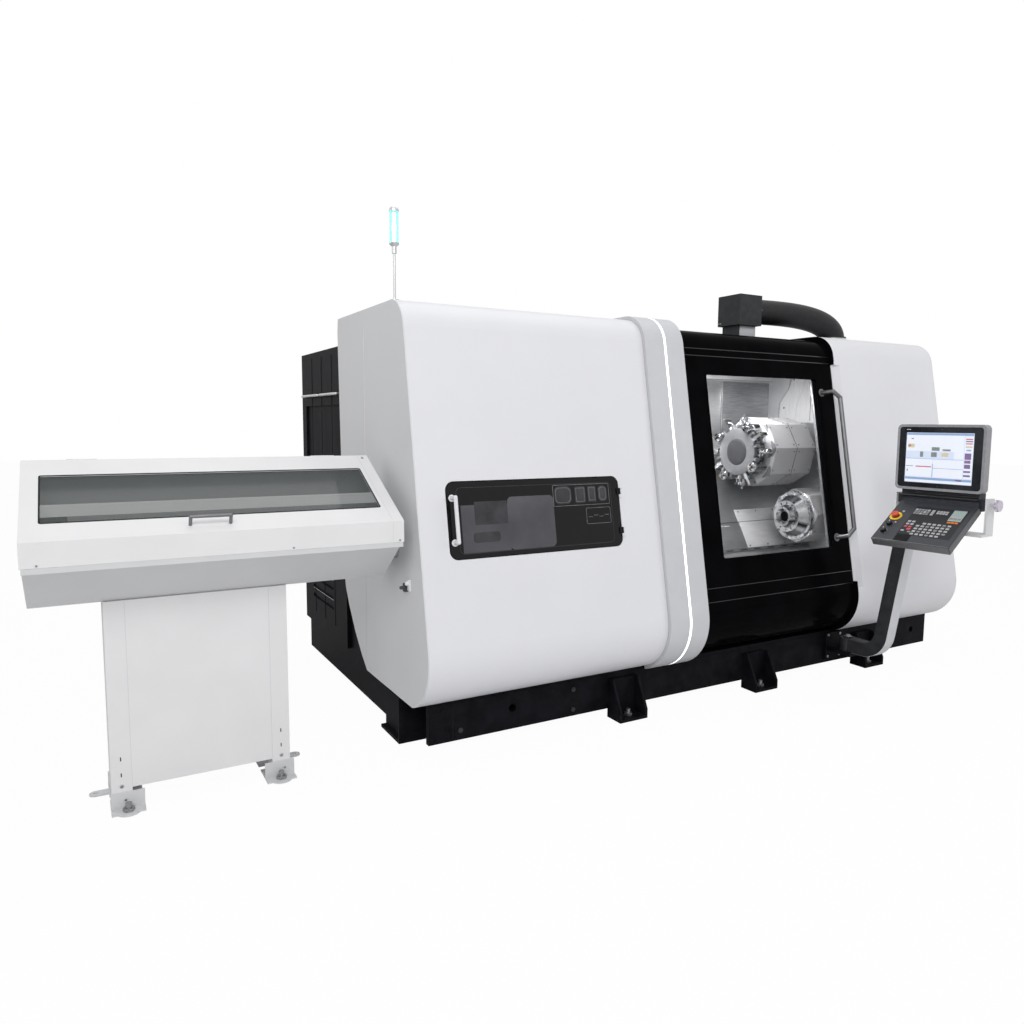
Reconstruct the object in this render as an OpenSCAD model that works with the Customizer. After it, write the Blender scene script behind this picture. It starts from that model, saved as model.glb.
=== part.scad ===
/* [Cabinet] */
// Length of the white cabinet
cab_len = 3825; // [3700:5:4000]
// Height of the cabinet roof above the floor
cab_h = 2100; // [2080:5:2140]
// Lean of the front away from the vertical, degrees
lean = 10.56; // [10:0.02:11]
// Depth of the white cabinet from its foremost line
cab_depth = 1250; // [1230:2:1300]
// Sheet thickness of the cabinet panels
sheet_t = 4; // [3:0.5:5]
// Width of the left front panel
left_w = 1333; // [1300:1:1360]
// Width of the proud belt next to the door
belt_w = 264; // [240:1:280]
// Width of the door bay
bay_w = 1230; // [1200:1:1260]
// Radius of the roof edge
top_r = 155; // [140:1:170]
// Radius of the lower front edge
low_r = 258; // [245:1:270]
// Height of the lower panel edge above the floor
skirt_z = 250; // [250:1:260]
// How far the belt stands proud of the panels
belt_proud = 20; // [12:1:26]
// How far the black bay lies behind the panels
bay_inset = 30; // [26:1:40]
// Width of the light strip in the belt
led_w = 14; // [8:1:20]

/* [Door] */
// Thickness of the sliding door
door_t = 45; // [35:1:50]
// Door from its left edge to the window
win_left = 190; // [160:1:230]
// Door from the window to its right edge
win_right = 148; // [130:1:200]
// Door above the window
win_top = 110; // [100:1:160]
// Thickness of the door glass
glass_t = 12; // [8:1:14]
// Tube radius of the door handle
handle_r = 13; // [10:0.5:16]
// Stand-off of the door handle from the door face
handle_off = 76; // [60:1:90]
// Length of the straight handle tube
handle_len = 800; // [700:5:860]

/* [Hatch] */
// Width of the hatch in the left panel
hatch_w = 946; // [850:2:980]
// Height of the hatch along the slope
hatch_h = 346; // [300:2:380]
// Thickness of the hatch pane
hatch_t = 18; // [12:1:22]
// Corner radius of the hatch
hatch_r = 38; // [20:1:60]
// Gap round the hatch
hatch_gap = 4; // [2:0.5:6]

/* [Spindles and turret] */
// Distance of the spindle axis behind the cabinet front
axis_y = 400; // [390:1:410]
// Height of the spindle axis above the floor
axis_z = 970; // [960:1:980]
// Slant of the bed to the floor, degrees
slant = 60; // [58:0.5:62]
// Radius of the bar bore in the main spindle
bore_r = 34; // [25:1:40]
// Radius of the counter spindle flange
flange_r = 150; // [130:1:155]
// Collet face in front of the right panel's edge
collet_reach = 227; // [190:1:260]
// Distance of the turret axis from the spindle axis
turret_u = 462; // [458:1:480]
// Turret face before the right edge of the bay
turret_set = 427; // [400:1:450]
// Number of tool stations
stations = 12; // [8:1:12]
// Radius of the turret disc
disc_r = 150; // [140:1:165]
// Radius over the tool tips
tool_r = 238; // [225:1:240]

/* [Base] */
// Height of the base underside
base_z = 45; // [35:1:60]
// Number of front feet
foot_count = 3; // [2:1:3]
// Spacing of the front feet
foot_pitch = 972; // [900:2:1000]
// First foot before the right edge of the bay
foot_set = 1627; // [1577:5:1727]
// Width of a foot bracket
foot_w = 178; // [150:2:200]
// Reach of a foot in front of the base
foot_reach = 115; // [100:1:130]
// Radius of a floor bolt
bolt_r = 12; // [8:0.5:14]

/* [Rear cabinet] */
// Depth of the rear cabinet
rear_depth = 890; // [800:5:950]
// Height of the rear cabinet top
rear_h = 1965; // [1900:5:1990]

/* [Loader] */
// Length of the bar loader
load_len = 1401; // [1300:1:1420]
// Gap between loader and cabinet
load_gap = 71; // [60:1:90]
// Depth of the loader
load_depth = 483; // [460:1:500]
// Height of the lid at the back
lid_z = 1386; // [1370:1:1400]
// Drop of the lid towards the front
lid_drop = 260; // [240:1:280]
// Height of the lid's front lip
lip_h = 92; // [80:1:100]
// Sheet thickness of the loader
load_t = 4; // [3:0.5:5]
// Width of the pedestal
ped_w = 698; // [650:2:740]

/* [Pendant] */
// Turn of the pendant from the cabinet front, degrees
pend_turn = 86; // [80:1:90]
// Width of the monitor
mon_w = 486; // [450:2:500]
// Height of the monitor
mon_h = 366; // [340:2:380]
// Thickness of the monitor
mon_t = 52; // [40:1:60]
// Width of the console deck
deck_w = 430; // [400:2:440]
// Depth of the console deck along its slope
deck_d = 350; // [320:2:360]
// Slope of the console deck, degrees
deck_tilt = 35; // [30:0.5:38]
// Side of the square pendant arm
arm_s = 80; // [70:1:90]

/* [Hidden] */
$fn = 64;
lean_c = cos(lean);
lean_s = sin(lean);
side_t = 6;
hair = 0.05;
tuck = 1.5;
hold_gap = 0.5;
belt_x = left_w;
bay_x = belt_x + belt_w;
right_x = bay_x + bay_w;
collet_x = right_x - collet_reach;
turret_x = right_x - turret_set;
foot_x = right_x - foot_set;
low_z = 548;
ref_z = 494;
low_c = [tan(lean) * (low_z - ref_z) + low_r * lean_c, low_z - low_r * lean_s];
top_c = [tan(lean) * (cab_h - top_r - ref_z) + top_r / lean_c, cab_h - top_r];
low_end = 255;
low_s = (low_z - ref_z) / lean_c;
top_s = low_s + (top_c[1] - low_c[1] - (low_r - top_r) * lean_s) / lean_c;
rear_x = 30;
rear_y = cab_depth;
base_x = 54;
base_x2 = cab_len + 5;
base_y = 215;
base_y2 = rear_y + rear_depth - 10;
corner_w = 140;
corner_d = 345;
beam_in = 34;
beam_t = 30;
corner_y = 188;
door_s0 = 110;
door_s1 = top_s - 40;
door_gap = 6;
door_x = bay_x + door_gap;
door_w = bay_w - 2 * door_gap;
door_y1 = bay_inset + door_t;
win_x = bay_x + win_left;
win_w = bay_w - win_left - win_right;
win_s = 331;
win_h = round(door_s1 - win_s - win_top);
hatch_x = 144;
hatch_s = 453;
hinge_r = 5;
pin_r = 2.5;
pin_gap = 0.35;
hinge_x = hatch_x + hatch_w + 2;
hinge_y = -8;
bed_v = -390;
rail_h = 40;
wall_x1 = bay_x + 43;
wall_x2 = right_x + 185;
wall_v = -250;
cover_v = wall_v - 10;
car_v = wall_v - 26;
neck_u0 = turret_u - 80;
neck_u1 = turret_u + 100;
sleeve_r = 172;
car_x = turret_x + 110;
car_len = 380;
load_x1 = -load_gap;
load_x0 = load_x1 - load_len;
load_y0 = 97;
load_y1 = load_y0 + load_depth;
lid_a = atan(lid_drop / load_depth);
lid_len = sqrt(lid_drop * lid_drop + load_depth * load_depth);
tub_z = 846;
lip_z = lid_z - lid_drop - lip_h;
ped_x = load_x0 + 253;
ped_y = 330;
pend_x = right_x + 23;
pend_y = -430;
pivot_x = right_x + 33;
pivot_y = 90;
yoke_z = 1128;
yoke_y = 66;
yoke_x = mon_w / 2 + 12;
mon_z = 1187;

// Puts the model on its reference point
module place() {
    translate([-shift_x, -shift_y, 0]) children();
}

// Extrudes a side view (depth, height) along the machine
module along_x(x0, x1) {
    translate([x0, 0, 0]) rotate([90, 0, 90]) linear_extrude(x1 - x0) children();
}

// Frame on the leaning front: along, inwards, up the slope
module on_front() {
    translate([0, 0, ref_z]) rotate([-lean, 0, 0]) children();
}

// Frame on the slant of the bed: along, up the slant, out of it
module on_slant() {
    translate([0, axis_y, axis_z]) rotate([slant, 0, 0]) children();
}

module block(x0, x1, y0, y1, z0, z1) {
    translate([x0, y0, z0]) cube([x1 - x0, y1 - y0, z1 - z0]);
}

module rod_x(x0, x1, r) {
    translate([x0, 0, 0]) rotate([0, 90, 0]) cylinder(h = x1 - x0, r = r);
}

// Bent part of a front panel
module arc_shell(c, r, t, a0, a1, x0, x1) {
    translate([x0, c[0], c[1]]) rotate([90, 0, 90]) rotate([0, 0, a0])
        rotate_extrude(angle = a1 - a0) translate([r - t, 0]) square([t, x1 - x0]);
}

// Flat of a front panel, a hair thinner than the bends it runs into
module slope_sheet(x0, x1, inset, t, s0, s1) {
    on_front() block(x0 + hair, x1 - hair, inset + hair, inset + t - hair, s0, s1);
}

// Roof edge of a panel with the roof sheet behind it and its rear lip
module roof_wrap(x0, x1, inset, t) {
    arc_shell(top_c, top_r - inset, t, 90, 180 - lean, x0, x1);
    block(x0, x1, top_c[0], cab_depth, cab_h - inset - t, cab_h - inset);
    block(x0, x1, cab_depth - t, cab_depth, rear_h - 30, cab_h - inset - t / 2);
}

module skirt_wrap(x0, x1, inset, t) {
    arc_shell(low_c, low_r - inset, t, 180 - lean, low_end, x0, x1);
}

module full_wrap(x0, x1, inset, t) {
    roof_wrap(x0, x1, inset, t);
    slope_sheet(x0, x1, inset, t, low_s - tuck, top_s + tuck);
    skirt_wrap(x0, x1, inset, t);
}

// Plate with round corners lying on the front
module front_plate(x0, w, s0, h, y0, t, r) {
    translate([x0, y0, s0]) {
        block(r, w - r, 0, t, 0, h);
        block(0, w, 0, t, r, h - r);
        for (i = [r, w - r])
            for (k = [r, h - r])
                translate([i, t, k]) rotate([90, 0, 0]) cylinder(h = t, r = r);
    }
}

function arc_points(c, r, a0, a1, n) = [for (i = [0:n]) c + r * [cos(a0 + (a1 - a0) * i / n), sin(a0 + (a1 - a0) * i / n)]];

// Rising rear edge of the cabinet end, in from its back and up from the skirt
rear_curve = [[430, 0], [350, 60], [240, 165], [140, 290], [85, 380], [60, 470]];

// Side view of the cabinet end
module end_shape() {
    polygon(concat(
        arc_points(top_c, top_r, 90, 180 - lean, 18),
        arc_points(low_c, low_r, 180 - lean, low_end, 18),
        [for (p = rear_curve) [cab_depth - p[0], skirt_z + p[1]]],
        [[cab_depth, cab_h - 70], [cab_depth - 10, cab_h]]));
}

module base_frame() {
    color("#17181b") difference() {
        block(base_x, base_x2, base_y, base_y2, base_z, skirt_z);
        block(base_x - 1, base_x + beam_in, base_y - 1, base_y + beam_t + 1, base_z - 1, skirt_z + 1);
        block(base_x - 1, base_x + corner_w, base_y + beam_t, base_y + corner_d, base_z - 1, skirt_z + 1);
        for (x = [base_x2 - 150, base_x + 480])
            translate([x, base_y - 1, 150]) rotate([-90, 0, 0]) cylinder(h = 60, r = 20);
    }
}

module foot_bracket() {
    gusset_t = 14;
    difference() {
        block(-foot_w / 2, foot_w / 2, -foot_reach, 0, 0, 16);
        translate([0, -foot_reach / 2 - 6, -1]) cylinder(h = 18, r = bolt_r + 1.5);
    }
    block(-foot_w / 2, foot_w / 2, -14, 0, 16, 205);
    for (x = [-foot_w / 2, foot_w / 2 - gusset_t])
        translate([x, 0, 0]) along_x(0, gusset_t)
            polygon([[-14, 16], [-14, 205], [-40, 205], [-foot_reach, 50], [-foot_reach, 16]]);
}

module at_feet() {
    for (i = [0:foot_count - 1]) translate([foot_x + i * foot_pitch, base_y, 0]) children();
    for (i = [0:foot_count - 1]) translate([foot_x + i * foot_pitch, base_y2, 0]) rotate([0, 0, 180]) children();
}

// Foot set back in the left corner: floor flange, front web up to the skirt, side web on the base
module corner_foot() {
    block(-40, 60, corner_y, corner_y + 250, 0, 16);
    block(-40, corner_w, corner_y, corner_y + 14, 0, skirt_z - 10);
    block(-14, 0, corner_y + 13, corner_y + 250, 15, 205);
}

module foot_brackets() {
    color("#1b1c1f") {
        at_feet() foot_bracket();
        translate([base_x, base_y, 0]) corner_foot();
    }
}

// Levelling bolt standing on the floor with a nut on the flange
module floor_bolt(seat) {
    cylinder(h = seat + 34, r = bolt_r);
    translate([0, 0, seat]) cylinder(h = 14, r = bolt_r * 1.85, $fn = 6);
}

module floor_bolts() {
    color("#8d9196") {
        at_feet() translate([0, -foot_reach / 2 - 6, 0]) floor_bolt(16);
        at_loader_feet() translate([0, -34, 0]) floor_bolt(6);
    }
}

module slant_bed() {
    on_bed = [axis_y - bed_v * sin(slant), axis_z + bed_v * cos(slant)];
    low = on_bed - 330 * [cos(slant), sin(slant)];
    high = on_bed + (cab_depth - 152 - on_bed[0]) / cos(slant) * [cos(slant), sin(slant)];
    color("#6d7276") along_x(300, cab_len - 120)
        polygon([[low[0], skirt_z], low, high, [cab_depth - 10, high[1]], [cab_depth - 10, skirt_z]]);
}

module guide_rails() {
    color("#b9bcc0") on_slant() {
        for (u = [turret_u - 205, turret_u + 195])
            block(wall_x1 + 30, cab_len - 140, u - 22, u + 22, bed_v + hair, bed_v + rail_h);
        for (u = [-190, 130])
            block(wall_x2 + 8, cab_len - 140, u - 22, u + 22, bed_v + hair, bed_v + rail_h);
    }
}

module headstock() {
    color("#c9ccd0") on_slant() difference() {
        union() {
            block(760, wall_x1 - 60, -210, 210, bed_v + hair, 120);
            rod_x(760, wall_x1 - 20, 128);
        }
        rod_x(700, wall_x1, 96);
    }
}

module main_spindle() {
    nose = wall_x1 + 150;
    color("#a9adb2") on_slant() difference() {
        union() {
            rod_x(620, nose, 95.6);
            rod_x(620, 755, 118);
            rod_x(wall_x1 - 16, nose - 50, 126);
            translate([nose, 0, 0]) rotate([0, 90, 0]) cylinder(h = 60, r1 = 95, r2 = 62);
        }
        rod_x(600, nose + 70, bore_r);
    }
}

module guide_tube() {
    color("#9fa3a8") translate([0, axis_y, axis_z]) difference() {
        union() {
            rod_x(load_x1 - load_t, 612, bore_r + 6);
            rod_x(-14, 0, bore_r + 26);
        }
        rod_x(load_x1 - load_t - 1, 613, bore_r);
    }
}

// Eight-sided sleeve that carries the counter spindle
module counter_head() {
    color("#d3d5d8") on_slant() difference() {
        union() {
            translate([collet_x + 92, 0, 0]) rotate([0, 90, 0]) rotate([0, 0, 22.5])
                cylinder(h = cab_len - 130 - collet_x - 92, r = sleeve_r, $fn = 8);
            block(cab_len - 451, cab_len - 130, -250, 180, bed_v + rail_h + hair, -100);
        }
        rod_x(collet_x + 80, cab_len - 100, 121);
    }
}

module counter_spindle() {
    color("#b4b7bb") on_slant() difference() {
        union() {
            rod_x(collet_x + 92, cab_len - 140, 120.6);
            rod_x(collet_x + 66, collet_x + 91.6, flange_r);
        }
        rod_x(collet_x + 60, cab_len - 130, bore_r);
    }
}

// Turned collet nose with a ring of clamp screws
module collet_chuck() {
    face = collet_x;
    color("#d9dbde") on_slant() difference() {
        union() {
            translate([face + 14, 0, 0]) rotate([0, 90, 0]) cylinder(h = 52, r1 = 98, r2 = 132);
            translate([face - 24, 0, 0]) rotate([0, 90, 0]) cylinder(h = 38, r1 = 62, r2 = 74);
        }
        rod_x(face - 30, face + 70, bore_r);
        translate([face - 25, 0, 0]) rotate([0, 90, 0]) cylinder(h = 26, r1 = 50, r2 = 36);
        for (a = [0:60:300])
            rotate([a, 0, 0]) translate([0, 84, 0]) rod_x(face + 10, face + 26, 7);
    }
}

module turret_carriage() {
    color("#5c6064") on_slant() {
        difference() {
            block(car_x, car_x + car_len, turret_u - 235, turret_u + 230, bed_v + 8, car_v);
            for (u = [turret_u - 205, turret_u + 195])
                block(car_x - 1, car_x + car_len + 1, u - 22.5, u + 22.5, bed_v, bed_v + rail_h);
        }
        block(car_x + 20, car_x + car_len - 20, neck_u0, neck_u1, car_v, -150);
    }
}

module way_cover() {
    color("#c4c7ca") on_slant() difference() {
        block(wall_x1 - 60, cab_len - 190, neck_u0 - 40, neck_u1 + 40, cover_v, cover_v + 3);
        block(car_x + 20 - hold_gap, car_x + car_len - 20 + hold_gap, neck_u0 - hold_gap, neck_u1 + hold_gap, cover_v - 5, cover_v + 8);
    }
}

// Housing of the tool turret: eight-sided drum on the cross slide
module turret_housing() {
    x0 = turret_x + 112;
    color("#d8dadc") on_slant() translate([0, turret_u, 0]) difference() {
        union() {
            translate([x0, 0, 0]) rotate([0, 90, 0]) rotate([0, 0, 22.5]) cylinder(h = 360, r = 222, $fn = 8);
            block(x0, x0 + 360, -150, 190, -150, 0);
            translate([x0 - 18, 0, 0]) rotate([0, 90, 0]) cylinder(h = 18, r1 = 200, r2 = 214);
        }
        rod_x(x0 - 20, x0 + 160, 60.5);
        block(x0 - 30, x0 + 400, -300, 300, -300, -150);
    }
}

// Indexing disc with a flat for each tool station
module turret_disc() {
    x0 = turret_x;
    x1 = turret_x + 93;
    color("#b9bcc0") on_slant() translate([0, turret_u, 0]) {
        difference() {
            translate([x0, 0, 0]) rotate([0, 90, 0]) cylinder(h = x1 - x0, r = disc_r);
            for (i = [0:stations - 1]) rotate([i * 360 / stations, 0, 0]) {
                block(x0 + 22, x1 - 8, disc_r - 16, disc_r + 10, -31, 31);
                translate([x0 + 57, disc_r - 46, 0]) rotate([-90, 0, 0]) cylinder(h = 60, r = 16);
                translate([0, disc_r - 34, 0]) rod_x(x0 - 1, x0 + 12, 8);
            }
            rod_x(x0 - 1, x0 + 10, 72.5);
        }
        rod_x(x1 - 1, x1 + 150, 60);
    }
}

module disc_cap() {
    color("#6a6d71") on_slant() translate([0, turret_u, 0]) {
        rod_x(turret_x + 1, turret_x + 10, 72);
        translate([turret_x - 8, 0, 0]) rotate([0, 90, 0]) cylinder(h = 9, r1 = 60, r2 = 68);
    }
}

// One clamped holder: foot on the flat, shank in the disc, block and tool
module tool_holder(kind) {
    seat = disc_r - 16;
    mid = turret_x + 57;
    translate([mid, seat - 28, 0]) rotate([-90, 0, 0]) cylinder(h = 29, r = 15.5);
    block(mid - 34, mid + 27, seat, seat + 40, -28, 28);
    if (kind == 0) {
        block(mid - 62, mid - 33, seat + 17, seat + 54, -12, 12);
        block(mid - 62, mid - 6, seat + 40, tool_r - 6, -14, 6);
    }
    if (kind == 1) {
        translate([mid, seat + 39, 0]) rotate([-90, 0, 0]) cylinder(h = 40, r1 = 26, r2 = 20);
        translate([mid, seat + 78, 0]) rotate([-90, 0, 0]) cylinder(h = tool_r - seat - 79, r = 8);
    }
    if (kind == 2) {
        translate([0, seat + 44, 0]) rod_x(mid - 76, mid + 24, 24);
        translate([0, seat + 44, 0]) rod_x(mid - 110, mid - 75, 10);
    }
}

module tool_holders() {
    color("#c8cbcf") on_slant() translate([0, turret_u, 0])
        for (i = [0:stations - 1]) rotate([i * 360 / stations, 0, 0]) tool_holder(i % 3);
}

function front_pt(y, s) = [y * lean_c + s * lean_s, ref_z - y * lean_s + s * lean_c];
function slant_pt(u, v) = [axis_y + u * cos(slant) - v * sin(slant), axis_z + u * sin(slant) + v * cos(slant)];

// Tube between two points
module strut(p, q, r) {
    d = q - p;
    translate(p) rotate([0, acos(d[2] / norm(d)), atan2(d[1], d[0])]) cylinder(h = norm(d), r = r);
}

// Bent tube through a list of points
module bent_tube(pts, r) {
    for (i = [0:len(pts) - 2]) strut(pts[i], pts[i + 1], r);
    for (i = [1:len(pts) - 2]) translate(pts[i]) sphere(r = r + 0.4);
}

hinge_len = 30;
hinge_s = [hatch_s + 60, hatch_s + hatch_h - 60 - hinge_len];

module left_front_panel() {
    color("#e9eaec") {
        difference() {
            full_wrap(side_t, left_w, 0, sheet_t);
            on_front() front_plate(hatch_x - hatch_gap, hatch_w + 2 * hatch_gap, hatch_s - hatch_gap,
                hatch_h + 2 * hatch_gap, -5, 20, hatch_r + hatch_gap);
        }
        on_front() for (s = hinge_s) {
            translate([hinge_x, hinge_y, s - 15]) cylinder(h = hinge_len + 30, r = pin_r);
            for (k = [s - 15, s + hinge_len + 1]) {
                translate([hinge_x, hinge_y, k]) cylinder(h = 14, r = hinge_r);
                block(hinge_x, hinge_x + 18, hinge_y, 1, k, k + 14);
            }
        }
    }
}

module left_side_panel() {
    color("#d5d7da") {
        difference() {
            along_x(0, side_t) end_shape();
            translate([0, axis_y, axis_z]) rod_x(-1, side_t + 1, bore_r + 7);
        }
        block(0, base_x + 60, 600, 800, skirt_z, skirt_z + sheet_t);
    }
}

module front_wrap(x0, x1, inset, t) {
    arc_shell(top_c, top_r - inset, t, 90, 180 - lean, x0, x1);
    slope_sheet(x0, x1, inset, t, low_s - tuck, top_s + tuck);
    skirt_wrap(x0, x1, inset, t);
}

led_x = belt_x + 137 - led_w / 2;
led_d = 6;

module belt_trim() {
    color("#d9dbdf") {
        difference() {
            full_wrap(belt_x + 3, bay_x, -belt_proud, belt_proud + sheet_t);
            front_wrap(led_x, led_x + led_w, -belt_proud - 1, led_d + 1);
        }
        full_wrap(belt_x, belt_x + 4, 1, sheet_t - 1);
    }
}

module led_strip() {
    color("#f4fbff") front_wrap(led_x + 0.2, led_x + led_w - 0.2, -belt_proud, led_d);
}

cheek_t = 4;
cheek_d = bay_inset + sheet_t;

module door_top_cover() {
    color("#0d0d0f") {
        roof_wrap(bay_x, right_x, bay_inset, sheet_t);
        slope_sheet(bay_x, right_x, bay_inset, sheet_t, door_s1, top_s + tuck);
        for (x = [bay_x, right_x - cheek_t]) {
            roof_wrap(x, x + cheek_t, 0, cheek_d);
            slope_sheet(x, x + cheek_t, 0, cheek_d, door_s1, top_s + tuck);
        }
    }
}

module door_sill() {
    color("#0d0d0f") {
        slope_sheet(bay_x, right_x, bay_inset, sheet_t, low_s - tuck, door_s0);
        skirt_wrap(bay_x, right_x, bay_inset, sheet_t);
        for (x = [bay_x, right_x - cheek_t]) {
            slope_sheet(x, x + cheek_t, 0, cheek_d, low_s - tuck, door_s0);
            skirt_wrap(x, x + cheek_t, 0, cheek_d);
        }
    }
}

rail_y0 = bay_inset + sheet_t;
rail_y1 = door_y1 + 3;

module door_rails() {
    color("#5a5d61") on_front() {
        for (s = [[door_s1, door_s1 + 32], [door_s0 - 32, door_s0]]) {
            block(560, right_x - cheek_t - 1, rail_y0, rail_y1, s[0], s[1]);
            block(560, 600, sheet_t, rail_y0, s[0], s[1]);
        }
    }
}

module door_frame() {
    color("#131315") on_front() difference() {
        block(bay_x + 2, wall_x2 + 4, rail_y1, rail_y1 + 14, door_s0 - 50, door_s1 + 34);
        block(bay_x + 100, right_x - 60, rail_y1 - 1, rail_y1 + 15, 250, door_s1 - 65);
    }
}

grip_w = 46;
grip_d = 30;

module right_front_panel() {
    color("#e9eaec") {
        difference() {
            full_wrap(right_x, cab_len - side_t, 0, sheet_t);
            on_front() block(right_x - 1, right_x + grip_w, -1, sheet_t + 1, low_s + 20, top_s - 60);
            translate([hose_x2, hose_y2, cab_h - 20]) cylinder(h = 40, r = hose_r - 6);
        }
        on_front() translate([0, 0, low_s + 20]) linear_extrude(top_s - low_s - 80)
            polygon([[right_x, grip_d - sheet_t], [right_x + grip_w, 0], [right_x + grip_w + 2, 0],
                [right_x + grip_w + 2, sheet_t], [right_x + grip_w, sheet_t], [right_x, grip_d]]);
        on_front() for (s = [low_s + 20 - sheet_t, top_s - 60]) translate([0, 0, s]) linear_extrude(sheet_t)
            polygon([[right_x, 0], [right_x + grip_w, 0], [right_x + grip_w, sheet_t], [right_x, grip_d]]);
    }
}

module right_side_panel() {
    color("#d5d7da") along_x(cab_len - side_t, cab_len) end_shape();
}

wall_t = 4;
wall_top = cab_h - 159;
wall_u0 = -215;
wall_u1 = 690;
wall_low = 560;

module wall_shape() {
    y = rail_y1 + 14;
    s0 = (wall_low - ref_z + y * lean_s) / lean_c;
    s1 = (wall_top - ref_z + y * lean_s) / lean_c;
    b = slant_pt(wall_u0, wall_v);
    t = slant_pt(wall_u1, wall_v);
    polygon([front_pt(y, s0), front_pt(y, s1), [t[0], wall_top], t, b, [b[0], wall_low]]);
}

module left_wall() {
    color("#b4b7ba") difference() {
        along_x(wall_x1, wall_x1 + wall_t) wall_shape();
        translate([0, axis_y, axis_z]) rod_x(wall_x1 - 1, wall_x1 + wall_t + 1, 133);
    }
}

module right_wall() {
    color("#b4b7ba") difference() {
        along_x(wall_x2, wall_x2 + wall_t) wall_shape();
        on_slant() translate([wall_x2 - 1, 0, 0]) rotate([0, 90, 0]) rotate([0, 0, 22.5])
            cylinder(h = wall_t + 2, r = sleeve_r + 8, $fn = 8);
    }
}

module back_wall() {
    t = slant_pt(wall_u1, wall_v);
    color("#b4b7ba") {
        on_slant() difference() {
            block(wall_x1 + wall_t, wall_x2, wall_u0, wall_u1, wall_v, wall_v + 3);
            block(car_x - 560, wall_x2 + 1, neck_u0 - 8, neck_u1 + 8, wall_v - 1, wall_v + 4);
        }
        block(wall_x1 + wall_t, wall_x2, t[0] - 3, t[0], t[1] - 1, cab_h - bay_inset - sheet_t);
    }
}

module chip_chute() {
    a = front_pt(rail_y1 + 14, 150);
    c = slant_pt(wall_u0, wall_v + 3);
    color("#a5a8ab") along_x(wall_x1 + wall_t, wall_x2)
        polygon([a, [300, 590], c, [c[0], c[1] - 6], [300, 584], [a[0], a[1] - 6]]);
}

module rear_cabinet() {
    color("#131416") difference() {
        union() {
            block(rear_x, cab_len - rear_x, rear_y, rear_y + rear_depth, skirt_z, rear_h);
            block(base_x, 298, 830, rear_y + 1, skirt_z, 1150);
        }
        for (i = [0:3]) {
            x = 160 + i * 900;
            block(x, x + 800, rear_y + rear_depth - 6, rear_y + rear_depth + 1, 330, 1880);
        }
        for (z = [420:60:720]) block(rear_x - 1, rear_x + 10, rear_y + 260, rear_y + 700, z, z + 24);
        block(rear_x - 1, rear_x + 26, rear_y + 60, rear_y + 820, 1690, 1712);
        block(rear_x - 1, rear_x + 14, rear_y + 90, rear_y + 800, 900, 1640);
    }
}

module signal_pole() {
    color("#c9ccd0") translate([36, 468, cab_h]) {
        cylinder(h = 8, r = 22);
        cylinder(h = 240, r = 6);
        translate([0, 0, 216]) cylinder(h = 45, r = 11);
    }
}

module signal_lamp() {
    color("#35e0a8") translate([36, 468, cab_h + 261]) {
        cylinder(h = 148, r = 21);
        translate([0, 0, 148]) cylinder(h = 12, r1 = 21, r2 = 15);
    }
}

hose_r = 78;
hose_x1 = right_x - 287;
hose_y1 = 695;
hose_bend = 165;
hose_x2 = right_x + (cab_len - right_x) / 3;
hose_y2 = 560;
hose_a = atan2(hose_y2 - hose_y1, hose_x2 - hose_x1);
hose_l = norm([hose_x2 - hose_x1, hose_y2 - hose_y1]) - hose_bend;

module duct_box() {
    color("#141517") difference() {
        union() {
            block(hose_x1 - 188, hose_x1, hose_y1 - 95, hose_y1 + 95, cab_h + 65, cab_h + 252);
            block(hose_x1 - 165, hose_x1 - 10, hose_y1 - 55, hose_y1 + 75, cab_h - bay_inset, cab_h + 66);
        }
        translate([hose_x1 - 140, hose_y1, cab_h + hose_bend]) rod_x(0, 160, hose_r - 10);
    }
}

module duct_hose() {
    color("#151619") difference() {
        duct_run();
        block(hose_x1 - 100, hose_x1, hose_y1 - 120, hose_y1 + 120, cab_h + 40, cab_h + 290);
    }
}

module duct_run() {
    translate([hose_x1, hose_y1, cab_h + hose_bend]) rotate([0, 0, hose_a]) {
        rod_x(-30, hose_l, hose_r);
        translate([hose_l, 0, -hose_bend]) rotate([90, 0, 0])
            rotate_extrude(angle = 90) translate([hose_bend, 0]) circle(r = hose_r);
        translate([hose_l + hose_bend, 0, -hose_bend]) cylinder(h = 26, r = hose_r + 10);
        rod_x(-30, 34, hose_r + 6);
    }
}

module door_panel() {
    color("#0b0b0d") on_front() difference() {
        block(door_x, door_x + door_w, bay_inset, door_y1, door_s0, door_s1);
        front_plate(win_x, win_w, win_s, win_h, bay_inset - 1, door_t + 2, 12);
        front_plate(win_x - 16, win_w + 32, win_s - 16, win_h + 32, bay_inset + 10, door_t, 20);
    }
}

module door_glass() {
    color("#9fb4bc") on_front()
        front_plate(win_x - 15.5, win_w + 31, win_s - 15.5, win_h + 31, bay_inset + 10, glass_t, 19.5);
}

module door_handle() {
    x = right_x - 38;
    s0 = door_s0 + 320;
    y = bay_inset - handle_off;
    ends = [[x - 70, bay_inset, s0 - 44], [x - 46, y + 10, s0 - 40], [x, y, s0], [x, y, s0 + handle_len],
        [x - 46, y + 10, s0 + handle_len + 40], [x - 70, bay_inset, s0 + handle_len + 44]];
    color("#9a9da1") on_front() intersection() {
        bent_tube([for (i = [0:len(ends) - 1]) i == 0 || i == len(ends) - 1 ? ends[i] + [0, 20, 0] : ends[i]], handle_r);
        block(x - 200, x + 100, y - 100, bay_inset, 0, 2000);
    }
}

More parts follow.
